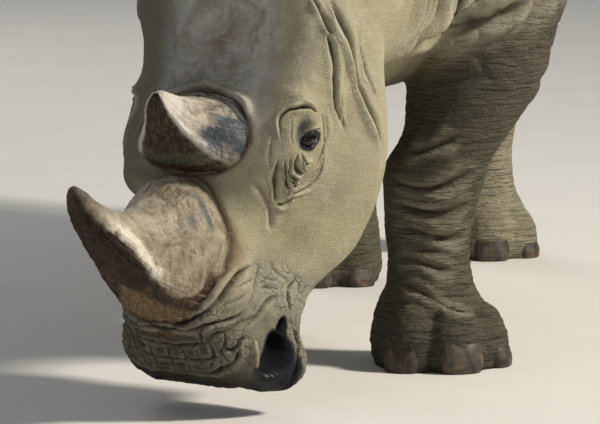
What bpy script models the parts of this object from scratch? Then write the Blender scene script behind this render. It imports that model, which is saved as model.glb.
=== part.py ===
"""White rhinoceros, life size, standing in mid-walk with its head low and turned to its right.

The frame: +Z is up, the animal faces -Y, its left side is +X and the floor is z = 0.
Run it with: blender --background --python part.py
"""

import math

import bmesh
import bpy
import numpy as np
from mathutils import Matrix, Vector

# Driving sizes, in metres and degrees
FRAME_SHIFT = (0.0, -0.496)  # moves the body sideways and lengthways, so that the origin is mid-box
SEAM = 0.0003  # the gap that touching pieces keep
HEAD_TURN = -28.0  # about the vertical, negative to the animal's right
HEAD_PITCH = 69.0  # nose down
NOSE = (-0.239, -0.808, 0.125)  # where the line of the nose meets the plane of the lips
FEET = {
    "foreleg_left": (0.220, 0.000),
    "foreleg_right": (-0.225, 0.300),
    "hindleg_left": (0.150, 1.617),
    "hindleg_right": (-0.145, 1.136),
}
LEG_ROOTS = {  # where the top of each leg is centred, inside the trunk
    "foreleg_left": (0.300, 0.100),
    "foreleg_right": (-0.270, 0.170),
    "hindleg_left": (0.240, 1.500),
    "hindleg_right": (-0.240, 1.450),
}
FOOT_TURN = {  # how far each foot points away from straight ahead, positive to the animal's left
    "foreleg_left": 30.0,
    "foreleg_right": -24.0,
    "hindleg_left": 16.0,
    "hindleg_right": -10.0,
}
EYE_RADIUS = 0.021
EYE = (0.181, 0.464, -0.100)  # out, along and up in the head's own frame, as for all that grows on it
EAR_ROOT = (0.142, 0.755, -0.030)
EAR_TIP = (0.240, 0.965, 0.165)
EAR_WIDTH = 0.074  # half, at the widest
NOSTRIL = (0.160, 0.075, -0.176)
NOSTRIL_SIZE = (0.034, 0.050, 0.024)
MOUTH_GAP = (-0.236, -0.230)  # down from the plane of the nose
MOUTH_CORNER = 0.165
NECK_START, NECK_LEAD = (0, 0.30, 1.15), (0, 0.00, 1.12)  # in the body's frame
NECK_REACH, NECK_END = (0, 1.02, -0.17), (0, 0.62, -0.17)  # in the head's frame
EAR_FACE = (0.55, -0.35, 0.75)  # the way the ear's opening looks, in the head's frame
VOXEL = 0.012  # of the skin that blends the forms
FLESH_TRIANGLES = 3600  # in the whole skin, before it is parted
TOE_SPREAD = 52.0
TOE_REACH = 0.090  # from the middle of the foot to the middle of a toe
TOE_SIZE = (0.064, 0.062, 0.094)

BODY_SMOOTHING = 30  # rounds of smoothing away from the head and the feet
HEAD_MIDDLE = (0, 0.35, -0.17)
HEAD_KEPT = (0.55, 0.70)  # distance from the middle of the head over which the smoothing comes in
FEET_KEPT = (0.30, 0.50)  # and height
SHARP_ANGLE = 38.0  # edges steeper than this stay sharp in the shading
SKIN_COLOUR = (0.30, 0.27, 0.22)
HORN_COLOUR = (0.22, 0.18, 0.13)
NAIL_COLOUR = (0.20, 0.17, 0.14)
EYE_COLOUR = (0.03, 0.02, 0.015)
# Where the flesh is parted
HEAD_CUT = ((0.93, 0.08), (0.64, -0.42))  # along and up, at the poll and at the throat
SHOULDER_CUT = ((-0.02, 1.66), (-0.26, 0.56))  # y and z, at the withers and at the brisket
LEG_CUT_SLOPE = 38.0
LEG_CUT_LEAN = 0.06  # how much the front cut comes back for each metre up
LEG_CUTS = {  # innermost x, front y at the floor, back y, height of the sloped cut at the inside
    "foreleg_left": (0.000, -0.200, 0.310, 0.470),
    "foreleg_right": (0.000, -0.100, 0.470, 0.470),
    "hindleg_left": (-0.030, 1.180, 2.000, 0.590),
    "hindleg_right": (-0.030, 0.930, 1.900, 0.590),
}

# Cross-sections of the trunk, from rump to chest:
# y, top, bottom, half width, height of the widest line, squareness above and below it
TRUNK = (
    (1.890, 1.19, 1.00, 0.07, 1.10, 2.0, 2.0),
    (1.855, 1.31, 0.91, 0.19, 1.07, 2.0, 2.0),
    (1.760, 1.46, 0.79, 0.32, 1.03, 2.1, 2.1),
    (1.580, 1.57, 0.69, 0.40, 1.00, 2.1, 2.1),
    (1.340, 1.61, 0.63, 0.44, 0.98, 2.0, 2.1),
    (1.060, 1.59, 0.555, 0.48, 0.96, 2.0, 2.1),
    (0.760, 1.555, 0.515, 0.495, 0.95, 2.0, 2.0),
    (0.460, 1.57, 0.52, 0.47, 0.96, 2.0, 2.0),
    (0.220, 1.62, 0.53, 0.42, 0.98, 1.9, 2.0),
    (0.020, 1.65, 0.535, 0.38, 1.00, 1.8, 2.0),
    (-0.150, 1.53, 0.565, 0.31, 1.00, 1.9, 2.0),
    (-0.270, 1.30, 0.63, 0.22, 0.95, 2.0, 2.0),
    (-0.330, 1.10, 0.74, 0.09, 0.90, 2.0, 2.0),
)
# Neck, from inside the shoulders to inside the head: share of the way, half width, rise, drop
NECK = (
    (0.00, 0.36, 0.45, 0.45),
    (0.25, 0.34, 0.46, 0.50),
    (0.50, 0.295, 0.34, 0.46),
    (0.72, 0.255, 0.23, 0.37),
    (0.88, 0.222, 0.18, 0.29),
    (1.00, 0.185, 0.15, 0.20),
)
# Foreleg, from sole to shoulder: height, how much of the shoulder's place it takes,
# outward and backward offset, half width across, half length fore and aft
FORELEG = (
    (-0.020, 0.00, -0.003, -0.020, 0.118, 0.120),
    (0.000, 0.00, -0.003, -0.016, 0.116, 0.120),
    (0.030, 0.00, -0.003, -0.016, 0.124, 0.126),
    (0.070, 0.00, -0.003, -0.014, 0.124, 0.124),
    (0.115, 0.00, -0.006, -0.004, 0.112, 0.116),
    (0.160, 0.00, -0.011, 0.002, 0.090, 0.104),
    (0.210, 0.00, -0.015, 0.008, 0.083, 0.097),
    (0.260, 0.02, -0.020, 0.010, 0.087, 0.099),
    (0.320, 0.04, -0.013, 0.004, 0.096, 0.107),
    (0.400, 0.10, -0.006, -0.006, 0.106, 0.118),
    (0.470, 0.22, 0.024, -0.002, 0.108, 0.130),
    (0.560, 0.40, 0.036, 0.015, 0.134, 0.160),
    (0.660, 0.60, 0.030, 0.035, 0.148, 0.200),
    (0.760, 0.75, 0.030, 0.045, 0.163, 0.235),
    (0.920, 0.90, 0.020, 0.030, 0.158, 0.262),
    (1.100, 1.00, 0.000, 0.000, 0.132, 0.268),
    (1.300, 1.00, -0.040, -0.020, 0.082, 0.212),
)
HINDLEG = (
    (-0.020, 0.00, 0.000, -0.012, 0.104, 0.108),
    (0.000, 0.00, 0.000, -0.010, 0.104, 0.110),
    (0.030, 0.00, 0.000, -0.010, 0.112, 0.114),
    (0.070, 0.00, 0.000, -0.008, 0.112, 0.112),
    (0.115, 0.00, -0.008, 0.000, 0.100, 0.104),
    (0.160, 0.00, -0.014, 0.010, 0.084, 0.094),
    (0.240, 0.02, -0.018, 0.022, 0.077, 0.086),
    (0.330, 0.08, -0.014, 0.046, 0.082, 0.100),
    (0.420, 0.18, -0.004, 0.072, 0.090, 0.122),
    (0.510, 0.32, 0.008, 0.058, 0.102, 0.134),
    (0.620, 0.48, 0.018, 0.010, 0.126, 0.170),
    (0.750, 0.65, 0.034, -0.040, 0.156, 0.232),
    (0.900, 0.82, 0.030, -0.050, 0.176, 0.290),
    (1.080, 0.95, 0.000, -0.030, 0.180, 0.330),
    (1.280, 1.00, -0.030, 0.000, 0.140, 0.300),
    (1.420, 1.00, -0.060, 0.000, 0.080, 0.200),
)
# Horns, from inside the head to the tip: share of the way, half width across, how far they reach
# towards the poll and towards the nose, and how far towards the nose the widest line lies
HORN_FRONT = (
    (0.00, 0.102, 0.132, 0.132, 0.000), (0.10, 0.103, 0.140, 0.132, 0.000),
    (0.18, 0.100, 0.139, 0.124, 0.010), (0.26, 0.090, 0.120, 0.108, 0.024),
    (0.36, 0.073, 0.080, 0.088, 0.032), (0.50, 0.054, 0.049, 0.064, 0.026),
    (0.66, 0.040, 0.033, 0.046, 0.018), (0.80, 0.030, 0.025, 0.034, 0.013),
    (0.92, 0.020, 0.018, 0.022, 0.007), (1.00, 0.006, 0.006, 0.006, 0.000),
)
HORN_REAR = (
    (0.00, 0.122, 0.078, 0.068, 0.000), (0.14, 0.122, 0.078, 0.070, 0.004),
    (0.26, 0.115, 0.073, 0.069, 0.014), (0.40, 0.092, 0.062, 0.061, 0.018),
    (0.56, 0.062, 0.047, 0.049, 0.014), (0.72, 0.039, 0.033, 0.036, 0.010),
    (0.87, 0.025, 0.022, 0.024, 0.006), (0.96, 0.015, 0.014, 0.015, 0.003),
    (1.00, 0.005, 0.005, 0.005, 0.000),
)
HORN_POWERS = (2.1, 2.8)  # squareness of a ring towards the poll and towards the nose
# Root, bend and tip of each horn's own line: along the nose, and up from it
HORN_LINES = {
    "horn_front": ((0.218, -0.055), (0.162, 0.165), (0.239, 0.318)),
    "horn_rear": ((0.434, -0.050), (0.434, 0.075), (0.479, 0.136)),
}
# Tail, from inside the rump to the tip: sideways, y, z, half thickness
TAIL = (
    (0.000, 1.780, 1.370, 0.052), (0.000, 1.850, 1.310, 0.054), (0.000, 1.905, 1.240, 0.048),
    (0.001, 1.942, 1.140, 0.036), (0.003, 1.955, 1.020, 0.026), (0.006, 1.955, 0.900, 0.020),
    (0.010, 1.948, 0.780, 0.017), (0.014, 1.938, 0.700, 0.015), (0.016, 1.934, 0.672, 0.006),
)
# Nail, from the ground up: height, half width, half depth, how far it leans back
NAIL = (
    (0.003, 0.040, 0.024, 0.000), (0.022, 0.046, 0.027, 0.002), (0.054, 0.042, 0.024, 0.009),
    (0.084, 0.026, 0.013, 0.022),
)
# Feature lines of the head in its own frame, from the lips (0) to the poll: along, out, up
RIDGE = (
    (0.000, 0, -0.160), (0.012, 0, -0.125), (0.030, 0, -0.098), (0.060, 0, -0.056), (0.090, 0, -0.020),
    (0.130, 0, 0.002), (0.200, 0, 0.005), (0.300, 0, 0.000), (0.360, 0, -0.006), (0.440, 0, 0.004),
    (0.540, 0, -0.012), (0.640, 0, -0.008), (0.720, 0, 0.025), (0.790, 0, 0.055), (0.860, 0, 0.040),
)
BROW = (
    (0.000, 0.075, -0.150), (0.012, 0.094, -0.122), (0.030, 0.104, -0.098), (0.060, 0.108, -0.070),
    (0.090, 0.106, -0.050), (0.130, 0.102, -0.036), (0.200, 0.098, -0.032), (0.300, 0.106, -0.036),
    (0.360, 0.142, -0.038), (0.420, 0.180, -0.036), (0.470, 0.188, -0.036), (0.540, 0.182, -0.040),
    (0.620, 0.188, -0.036), (0.700, 0.190, -0.020), (0.790, 0.165, 0.000), (0.860, 0.140, -0.010),
)
CHEEK = (
    (0.000, 0.130, -0.190), (0.012, 0.154, -0.188), (0.030, 0.166, -0.184), (0.060, 0.169, -0.180),
    (0.090, 0.156, -0.175), (0.130, 0.140, -0.166), (0.200, 0.124, -0.160), (0.290, 0.134, -0.165),
    (0.350, 0.154, -0.175), (0.410, 0.176, -0.180), (0.460, 0.187, -0.182), (0.540, 0.198, -0.185),
    (0.640, 0.208, -0.185), (0.720, 0.210, -0.180), (0.860, 0.195, -0.170),
)
JAW = (
    (0.000, 0.112, -0.222), (0.012, 0.145, -0.250), (0.030, 0.163, -0.268), (0.060, 0.168, -0.276),
    (0.090, 0.158, -0.280), (0.130, 0.136, -0.280), (0.200, 0.125, -0.300), (0.250, 0.130, -0.328),
    (0.310, 0.148, -0.370), (0.370, 0.160, -0.388), (0.435, 0.177, -0.382), (0.510, 0.186, -0.368),
    (0.580, 0.176, -0.356), (0.660, 0.170, -0.322), (0.750, 0.165, -0.292), (0.860, 0.160, -0.270),
)
KEEL = (
    (0.000, 0, -0.214), (0.012, 0, -0.250), (0.030, 0, -0.272), (0.060, 0, -0.286), (0.090, 0, -0.289),
    (0.130, 0, -0.292), (0.200, 0, -0.312), (0.250, 0, -0.336), (0.310, 0, -0.372), (0.370, 0, -0.396),
    (0.435, 0, -0.402), (0.510, 0, -0.406), (0.580, 0, -0.402), (0.660, 0, -0.380), (0.750, 0, -0.350),
    (0.860, 0, -0.320),
)


def smooth_table(rows, steps):
    """Catmull-Rom through the rows of a table, spaced by row, as (steps, columns)."""
    rows = np.array(rows, float)
    ends = np.vstack([2 * rows[0] - rows[1], rows, 2 * rows[-1] - rows[-2]])
    place = np.linspace(0, len(rows) - 1, steps)
    first = np.minimum(place.astype(int), len(rows) - 2)
    t = (place - first)[:, None]
    a, b, c, d = (ends[first + k] for k in range(4))
    return 0.5 * (2 * b + (c - a) * t + (2 * a - 5 * b + 4 * c - d) * t**2 + (3 * b - a - 3 * c + d) * t**3)


def line_at(line, places):
    """A feature line read at the given places along it, smoothly."""
    fine = smooth_table(line, 24 * len(line))
    return np.stack([np.interp(places, fine[:, 0], fine[:, k]) for k in (1, 2)], 1)


def egg(width, rise, drop, power_up, power_down, count):
    """Points (out, up) of a ring that is a superellipse above and another below its widest line."""
    turn = np.linspace(0, 2 * np.pi, count, endpoint=False)
    cos, sin = np.cos(turn), np.sin(turn)
    power = np.where(sin > 0, power_up, power_down)
    out = width * np.sign(cos) * np.abs(cos) ** (2 / power)
    up = np.where(sin > 0, rise, drop) * np.sign(sin) * np.abs(sin) ** (2 / power)
    return np.stack([out, up], 1)


def grid_mesh(name, rings):
    """A closed mesh from rings (count, points, 3), with a flat cap at each end."""
    rings = np.asarray(rings, float)
    rows, columns = rings.shape[:2]
    made = bmesh.new()
    points = [[made.verts.new(p) for p in ring] for ring in rings]
    for low, high in zip(points, points[1:]):
        for k in range(columns):
            n = (k + 1) % columns
            made.faces.new((low[k], low[n], high[n]))
            made.faces.new((low[k], high[n], high[k]))
    made.faces.new(points[0])
    made.faces.new(points[-1])
    bmesh.ops.recalc_face_normals(made, faces=made.faces)
    bmesh.ops.triangulate(made, faces=[f for f in made.faces if len(f.verts) > 4])
    mesh = bpy.data.meshes.new(name)
    made.to_mesh(mesh)
    made.free()
    obj = bpy.data.objects.new(name, mesh)
    bpy.context.scene.collection.objects.link(obj)
    return obj


def lengthened(rings, grow):
    """The rings with the first and the last moved outward, so that a socket is also deeper."""
    rings = np.array(rings)
    for end, inner in ((0, 1), (-1, -2)):
        away = (rings[end] - rings[inner]).mean(0)
        rings[end] += grow * away / np.linalg.norm(away)
    return rings


def head_matrix():
    """From the head's own frame, level and facing -Y with the lips at y = 0, to the body's."""
    turn = Matrix.Rotation(math.radians(HEAD_TURN), 4, "Z")
    pitch = Matrix.Rotation(math.radians(HEAD_PITCH), 4, "X")
    return Matrix.Translation(NOSE) @ turn @ pitch


def to_body(points):
    """Head-frame points in the body's frame."""
    matrix = np.array(head_matrix())
    return np.asarray(points, float) @ matrix[:3, :3].T + matrix[:3, 3]


def head_rings(rows=64, columns=64):
    places = np.concatenate([np.linspace(0, 0.09, rows // 4, endpoint=False),
                             np.linspace(0.09, 0.86, rows - rows // 4)])
    ridge, brow, cheek, jaw, keel = (line_at(line, places) for line in (RIDGE, BROW, CHEEK, JAW, KEEL))
    mirror = np.array([-1, 1])
    around = np.stack([ridge, brow, cheek, jaw, keel, jaw * mirror, cheek * mirror, brow * mirror], 1)
    rings = []
    for place, corners in zip(places, around):
        turn = np.linspace(0, 8, columns, endpoint=False)
        first = turn.astype(int)
        t = (turn - first)[:, None]
        a, b, c, d = (corners[(first + k) % 8] for k in (-1, 0, 1, 2))
        ring = 0.5 * (2 * b + (c - a) * t + (2 * a - 5 * b + 4 * c - d) * t**2
                      + (3 * b - a - 3 * c + d) * t**3)
        rings.append(np.stack([ring[:, 0], np.full(columns, place), ring[:, 1]], 1))
    return to_body(np.array(rings))


def trunk_rings(rows=48, columns=48):
    rings = []
    for y, top, bottom, width, widest, power_up, power_down in smooth_table(TRUNK, rows):
        ring = egg(max(width, 0.02), top - widest, widest - bottom, power_up, power_down, columns)
        rings.append(np.stack([ring[:, 0], np.full(columns, y), widest + ring[:, 1]], 1))
    return np.array(rings)


def neck_rings(rows=28, columns=40):
    start, lead = np.array(NECK_START), np.array(NECK_LEAD)
    reach, end = to_body([NECK_REACH, NECK_END])
    head_side = np.array(head_matrix().to_3x3().col[0])
    rings = []
    for t, width, rise, drop in smooth_table(NECK, rows):
        centre = (1 - t) ** 3 * start + 3 * t * (1 - t) ** 2 * lead + 3 * t * t * (1 - t) * reach + t**3 * end
        ahead = (1 - t) ** 2 * (lead - start) + 2 * t * (1 - t) * (reach - lead) + t * t * (end - reach)
        ahead /= np.linalg.norm(ahead)
        side = (1 - t) * np.array([1.0, 0, 0]) + t * head_side
        side -= ahead * (side @ ahead)
        side /= np.linalg.norm(side)
        up = np.cross(ahead, side)
        up *= np.sign(up[2])
        ring = egg(width, rise, drop, 2.0, 2.0, columns)
        rings.append(centre + ring[:, :1] * side + ring[:, 1:] * up)
    return np.array(rings)


def leg_rings(name, rows=44, columns=32):
    table = FORELEG if "fore" in name else HINDLEG
    side = 1 if "left" in name else -1
    foot, root = FEET[name], LEG_ROOTS[name]
    rings = []
    for z, share, out, back, across, along in smooth_table(table, rows):
        x = foot[0] + share * (root[0] - foot[0]) + side * out
        y = foot[1] + share * (root[1] - foot[1]) + back
        ring = egg(across, along, along, 2.2, 2.2, columns)
        rings.append(np.stack([x + ring[:, 0], y + ring[:, 1], np.full(columns, z)], 1))
    return np.array(rings)


def ellipsoid(name, centre, sizes, axes, rows=10, columns=16):
    """A ball stretched to half-sizes along three axes (the rows of axes)."""
    tilt = np.linspace(0.04, np.pi - 0.04, rows)[:, None]
    turn = np.linspace(0, 2 * np.pi, columns, endpoint=False)
    ball = np.stack([np.sin(tilt) * np.cos(turn), np.sin(tilt) * np.sin(turn),
                     np.cos(tilt) + 0 * turn], 2)
    return grid_mesh(name, np.asarray(centre) + (ball * sizes) @ np.asarray(axes, float))


def foot_directions(name):
    """For each toe of a foot: the way it points, and its sideways direction."""
    found = []
    for spread in (-TOE_SPREAD, 0.0, TOE_SPREAD):
        angle = math.radians(FOOT_TURN[name] + spread)
        found.append((np.array([math.sin(angle), -math.cos(angle), 0]),
                      np.array([math.cos(angle), math.sin(angle), 0])))
    return found


def foot_centre(name):
    back = (FORELEG if "fore" in name else HINDLEG)[2][3]
    return np.array([FEET[name][0], FEET[name][1] + back, 0.0])


def foot_scale(name):
    return 1.0 if "fore" in name else 0.9


def toe_forms(name):
    made = []
    for ahead, side in foot_directions(name):
        centre = foot_centre(name) + ahead * TOE_REACH * foot_scale(name) + np.array([0, 0, 0.04])
        sizes = np.array(TOE_SIZE) * foot_scale(name)
        made.append(ellipsoid("toe", centre, sizes, (side, ahead, (0, 0, 1))))
    return made


def nail_rings(name, toe, grow, columns=8):
    ahead, side = foot_directions(name)[toe]
    size = foot_scale(name) * (1.0 if toe == 1 else 0.86)
    reach = foot_scale(name) * (TOE_REACH + TOE_SIZE[1]) - 0.014
    rings = []
    for z, width, depth, lean in NAIL:
        ring = egg(width * size + grow, depth * size + grow, depth * size + grow, 2.2, 2.2, columns)
        at = foot_centre(name) + ahead * (reach - lean)
        rings.append(at + ring[:, :1] * side + ring[:, 1:] * ahead + np.array([0, 0, z * size]))
    return lengthened(rings, grow)


def horn_rings(name, grow, rows=10, columns=16):
    table = HORN_FRONT if "front" in name else HORN_REAR
    root, bend, tip = (np.array(p) for p in HORN_LINES[name])
    rings = []
    for t, across, poll, nose, shift in smooth_table(table, rows):
        t = min(max(t, 0.0), 1.0)
        centre = (1 - t) ** 2 * root + 2 * t * (1 - t) * bend + t * t * tip
        ahead = 2 * (1 - t) * (bend - root) + 2 * t * (tip - bend)
        ahead /= np.linalg.norm(ahead)
        wide = np.array([ahead[1], -ahead[0]])
        ring = egg(across + grow, poll + shift + grow, nose - shift + grow, *HORN_POWERS, columns)
        spot = centre + (ring[:, 1:] - shift) * wide
        rings.append(np.column_stack([ring[:, 0], spot[:, 0], spot[:, 1]]))
    return to_body(lengthened(rings, grow))


def ear_rings(side, grow, rows=9, columns=12):
    """A leaf rolled into a trumpet: each ring is a crescent that opens outward and forward."""
    root, tip = np.array(EAR_ROOT), np.array(EAR_TIP)
    ahead = (tip - root) / np.linalg.norm(tip - root)
    face = np.array(EAR_FACE)
    face -= ahead * (face @ ahead)
    face /= np.linalg.norm(face)
    across = np.cross(ahead, face)
    rings = []
    for t in np.linspace(-0.10, 1.0, rows):
        width = EAR_WIDTH * np.interp(t, (-0.1, 0.0, 0.2, 0.5, 0.8, 0.95, 1.0),
                                      (0.48, 0.52, 0.74, 1.0, 0.72, 0.30, 0.10))
        hollow = np.interp(t, (0.14, 0.28, 0.45, 1.0), (0.0, 0.35, 0.75, 0.55))
        turn = np.linspace(0, 2 * np.pi, columns, endpoint=False)
        wall = 0.30 * width + 0.004
        u = np.cos(turn) * (width + grow)
        bow = (u / (width + grow)) ** 2 * width * 0.8
        v = np.sin(turn) * (wall + grow) + bow * 1.4 * hollow - 0.45 * width
        v -= 1.5 * hollow * wall * np.maximum(np.sin(turn), 0)
        spot = root + (tip - root) * t + u[:, None] * across + v[:, None] * face
        spot[:, 0] *= side
        rings.append(spot)
    return to_body(lengthened(rings, grow))


def tail_rings(grow, rows=12, columns=8):
    table = smooth_table(TAIL, rows)
    rings = []
    for k, (x, y, z, thick) in enumerate(table):
        ahead = table[min(k + 1, rows - 1), :3] - table[max(k - 1, 0), :3]
        ahead /= np.linalg.norm(ahead)
        side = np.array([1.0, 0, 0])
        up = np.cross(ahead, side)
        ring = egg(thick + grow, thick + grow, thick + grow, 2.0, 2.0, columns)
        rings.append(np.array([x, y, z]) + ring[:, :1] * side + ring[:, 1:] * up)
    return lengthened(rings, grow)


def hide(obj):
    obj.hide_render = True
    obj.display_type = "WIRE"
    return obj


def region(name, pairs, matrix, grow):
    """A six-sided cutter from three pairs of planes, each an outward normal and its distance."""
    corners = []
    for pick in ((0, 0, 0), (1, 0, 0), (1, 1, 0), (0, 1, 0), (0, 0, 1), (1, 0, 1), (1, 1, 1), (0, 1, 1)):
        chosen = [pair[k] for pair, k in zip(pairs, pick)]
        normals = np.array([plane[0] for plane in chosen], float)
        lengths = np.linalg.norm(normals, axis=1)
        reach = np.array([plane[1] for plane in chosen]) + grow * lengths
        corners.append(matrix @ Vector(np.linalg.solve(normals, reach)))
    return hide(grid_mesh(name, [corners[:4], corners[4:]]))


def leg_region(name, grow):
    inner, front, back, rise = LEG_CUTS[name]
    side = 1 if "left" in name else -1
    slope = math.radians(LEG_CUT_SLOPE)
    top = (-side * math.sin(slope), 0, math.cos(slope))
    top_reach = top[0] * inner + top[2] * rise
    pairs = [[((-side, 0, 0), -side * inner), ((side, 0, 0), 1.0)],
             [((0, -1, LEG_CUT_LEAN), -front), ((0, 1, 0), back)],
             [((0, 0, -1), 0.1), (top, top_reach)]]
    return region(name + "_region", pairs, Matrix(), grow)


def head_region(grow):
    (high, high_up), (low, low_up) = HEAD_CUT
    normal = (0, high_up - low_up, low - high)
    reach = normal[1] * high + normal[2] * high_up
    pairs = [[((-1, 0, 0), 0.5), ((1, 0, 0), 0.5)],
             [((0, -1, 0), 0.4), (normal, reach)],
             [((0, 0, -1), 0.47), ((0, 0, 1), 0.6)]]
    return region("head_region", pairs, head_matrix(), grow)


def neck_region(grow):
    (top_y, top_z), (low_y, low_z) = SHOULDER_CUT
    normal = (0, top_z - low_z, low_y - top_y)
    reach = normal[1] * top_y + normal[2] * top_z
    pairs = [[((-1, 0, 0), 1.0), ((1, 0, 0), 1.0)],
             [((0, -1, 0), 2.0), (normal, reach)],
             [((0, 0, -1), 0.2), ((0, 0, 1), 2.5)]]
    return region("neck_region", pairs, Matrix(), grow)


def applied(obj):
    """The object with its modifiers turned into mesh, and the old mesh dropped."""
    graph = bpy.context.evaluated_depsgraph_get()
    mesh = bpy.data.meshes.new_from_object(obj.evaluated_get(graph))
    obj.modifiers.clear()
    obj.data = mesh
    return obj


def cut(obj, cutter, operation="DIFFERENCE"):
    modifier = obj.modifiers.new(operation.lower(), "BOOLEAN")
    modifier.operation = operation
    modifier.solver = "EXACT"
    modifier.object = cutter


def joined(name, parts):
    made = bmesh.new()
    for part in parts:
        made.from_mesh(part.data)
        bpy.data.objects.remove(part)
    mesh = bpy.data.meshes.new(name)
    made.to_mesh(mesh)
    made.free()
    obj = bpy.data.objects.new(name, mesh)
    bpy.context.scene.collection.objects.link(obj)
    return obj


def build_flesh():
    """One skin over all the forms, blended where they meet and thinned to the triangles it may use."""
    parts = [grid_mesh("head_form", head_rings()), grid_mesh("trunk_form", trunk_rings()),
             grid_mesh("neck_form", neck_rings())]
    for name in FEET:
        parts += [grid_mesh(name + "_form", leg_rings(name)), *toe_forms(name)]
    flesh = joined("flesh", parts)
    remesh = flesh.modifiers.new("skin", "REMESH")
    remesh.mode = "VOXEL"
    remesh.voxel_size = VOXEL
    applied(flesh)
    places = np.empty(len(flesh.data.vertices) * 3)
    flesh.data.vertices.foreach_get("co", places)
    places = places.reshape(-1, 3)
    away = np.linalg.norm(places - to_body([HEAD_MIDDLE])[0], axis=1)
    weight = np.interp(away, HEAD_KEPT, (0, 1)) * np.interp(places[:, 2], FEET_KEPT, (0, 1))
    group = flesh.vertex_groups.new(name="body")
    for step in range(1, 11):
        chosen = np.flatnonzero(np.round(weight * 10) == step)
        group.add([int(k) for k in chosen], step / 10, "REPLACE")
    body = flesh.modifiers.new("body", "SMOOTH")
    body.factor, body.iterations, body.vertex_group = 0.5, BODY_SMOOTHING, "body"
    whole = flesh.modifiers.new("whole", "SMOOTH")
    whole.factor, whole.iterations = 0.5, 2
    applied(flesh)
    thin = flesh.modifiers.new("thin", "DECIMATE")
    thin.ratio = FLESH_TRIANGLES / (2 * len(flesh.data.polygons))
    thin.use_collapse_triangulate = True
    applied(flesh)
    return flesh


def coloured(obj, name, colour, roughness):
    material = bpy.data.materials.get(name) or bpy.data.materials.new(name)
    material.use_nodes = True
    shader = material.node_tree.nodes["Principled BSDF"]
    shader.inputs["Base Color"].default_value = (*colour, 1)
    shader.inputs["Roughness"].default_value = roughness
    obj.data.materials.clear()
    obj.data.materials.append(material)
    for face in obj.data.polygons:
        face.use_smooth = True
    return obj


def copy_of(obj, name):
    new = bpy.data.objects.new(name, obj.data.copy())
    bpy.context.scene.collection.objects.link(new)
    return new


def grown_features():
    """Horns, eyes, ears, nails and tail as nodes, each with the cutter that makes its socket."""
    head_cutters, leg_cutters, made = [], {name: [] for name in FEET}, []
    for name in HORN_LINES:
        made.append(coloured(grid_mesh(name, horn_rings(name, 0.0)), name, HORN_COLOUR, 0.7))
        head_cutters.append(hide(grid_mesh(name + "_socket", horn_rings(name, SEAM))))
    axes = np.array(head_matrix())[:3, :3].T
    for side, word in ((1, "left"), (-1, "right")):
        centre = to_body([[side * EYE[0], EYE[1], EYE[2]]])[0]
        looking = axes[[1, 2, 0]]
        sizes = np.full(3, EYE_RADIUS)
        eye = ellipsoid("eye_" + word, centre, sizes, looking, 7, 10)
        made.append(coloured(eye, "eye_" + word, EYE_COLOUR, 0.15))
        head_cutters.append(hide(ellipsoid("eye_socket_" + word, centre, sizes + SEAM, looking, 7, 10)))
        ear = grid_mesh("ear_" + word, ear_rings(side, 0.0))
        made.append(coloured(ear, "ear_" + word, SKIN_COLOUR, 0.85))
        head_cutters.append(hide(grid_mesh("ear_socket_" + word, ear_rings(side, SEAM))))
        centre = to_body([[side * NOSTRIL[0], NOSTRIL[1], NOSTRIL[2]]])[0]
        pit = ellipsoid("nostril_" + word, centre, np.array(NOSTRIL_SIZE), axes, 8, 12)
        head_cutters.append(hide(pit))
    for name in FEET:
        for toe in range(3):
            title = f"toenail_{name}_{toe + 1}"
            made.append(coloured(grid_mesh(title, nail_rings(name, toe, 0.0)), title, NAIL_COLOUR, 0.6))
            leg_cutters[name].append(hide(grid_mesh(title + "_socket", nail_rings(name, toe, SEAM))))
    tail = coloured(grid_mesh("tail", tail_rings(0.0)), "tail", SKIN_COLOUR, 0.85)
    tail_socket = hide(grid_mesh("tail_socket", tail_rings(SEAM)))
    return head_cutters, leg_cutters, tail_socket


def main():
    for obj in list(bpy.data.objects):
        bpy.data.objects.remove(obj)
    flesh = build_flesh()
    head_cutters, leg_cutters, tail_socket = grown_features()
    floor_pairs = [[((-1, 0, 0), 2.0), ((1, 0, 0), 2.0)],
                   [((0, -1, 0), 3.0), ((0, 1, 0), 3.0)],
                   [((0, 0, -1), 0.3), ((0, 0, 1), 0.0)]]
    floor = region("floor_cut", floor_pairs, Matrix(), 0.0)
    mouth_pairs = [[((-1, 0, 0), 0.3), ((1, 0, 0), 0.3)], [((0, -1, 0), 0.1), ((0, 1, 0), MOUTH_CORNER)],
                   [((0, 0, -1), -MOUTH_GAP[0]), ((0, 0, 1), MOUTH_GAP[1])]]
    mouth = region("mouth_cut", mouth_pairs, head_matrix(), 0.0)
    legs_grown = [leg_region(name, SEAM) for name in FEET]

    head = coloured(copy_of(flesh, "head"), "head", SKIN_COLOUR, 0.85)
    cut(head, head_region(0.0), "INTERSECT")
    for cutter in [*head_cutters, mouth]:
        cut(head, cutter)
    neck = coloured(copy_of(flesh, "neck"), "neck", SKIN_COLOUR, 0.85)
    cut(neck, neck_region(0.0), "INTERSECT")
    for cutter in [head_region(SEAM), *legs_grown]:
        cut(neck, cutter)
    trunk = coloured(copy_of(flesh, "trunk"), "trunk", SKIN_COLOUR, 0.85)
    for cutter in [neck_region(SEAM), head_region(SEAM), *legs_grown, tail_socket]:
        cut(trunk, cutter)
    for name in FEET:
        leg = coloured(copy_of(flesh, name), name, SKIN_COLOUR, 0.85)
        cut(leg, leg_region(name, 0.0), "INTERSECT")
        for cutter in [floor, *leg_cutters[name]]:
            cut(leg, cutter)
    bpy.data.objects.remove(flesh)
    for obj in bpy.context.scene.objects:
        if not obj.hide_render:
            applied(obj)
            obj.data.set_sharp_from_angle(angle=math.radians(SHARP_ANGLE))
            obj.data.transform(Matrix.Translation((*FRAME_SHIFT, 0)))


main()
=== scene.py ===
# White rhinoceros, life size: skin, horns, eyes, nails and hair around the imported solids.
import math

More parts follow.
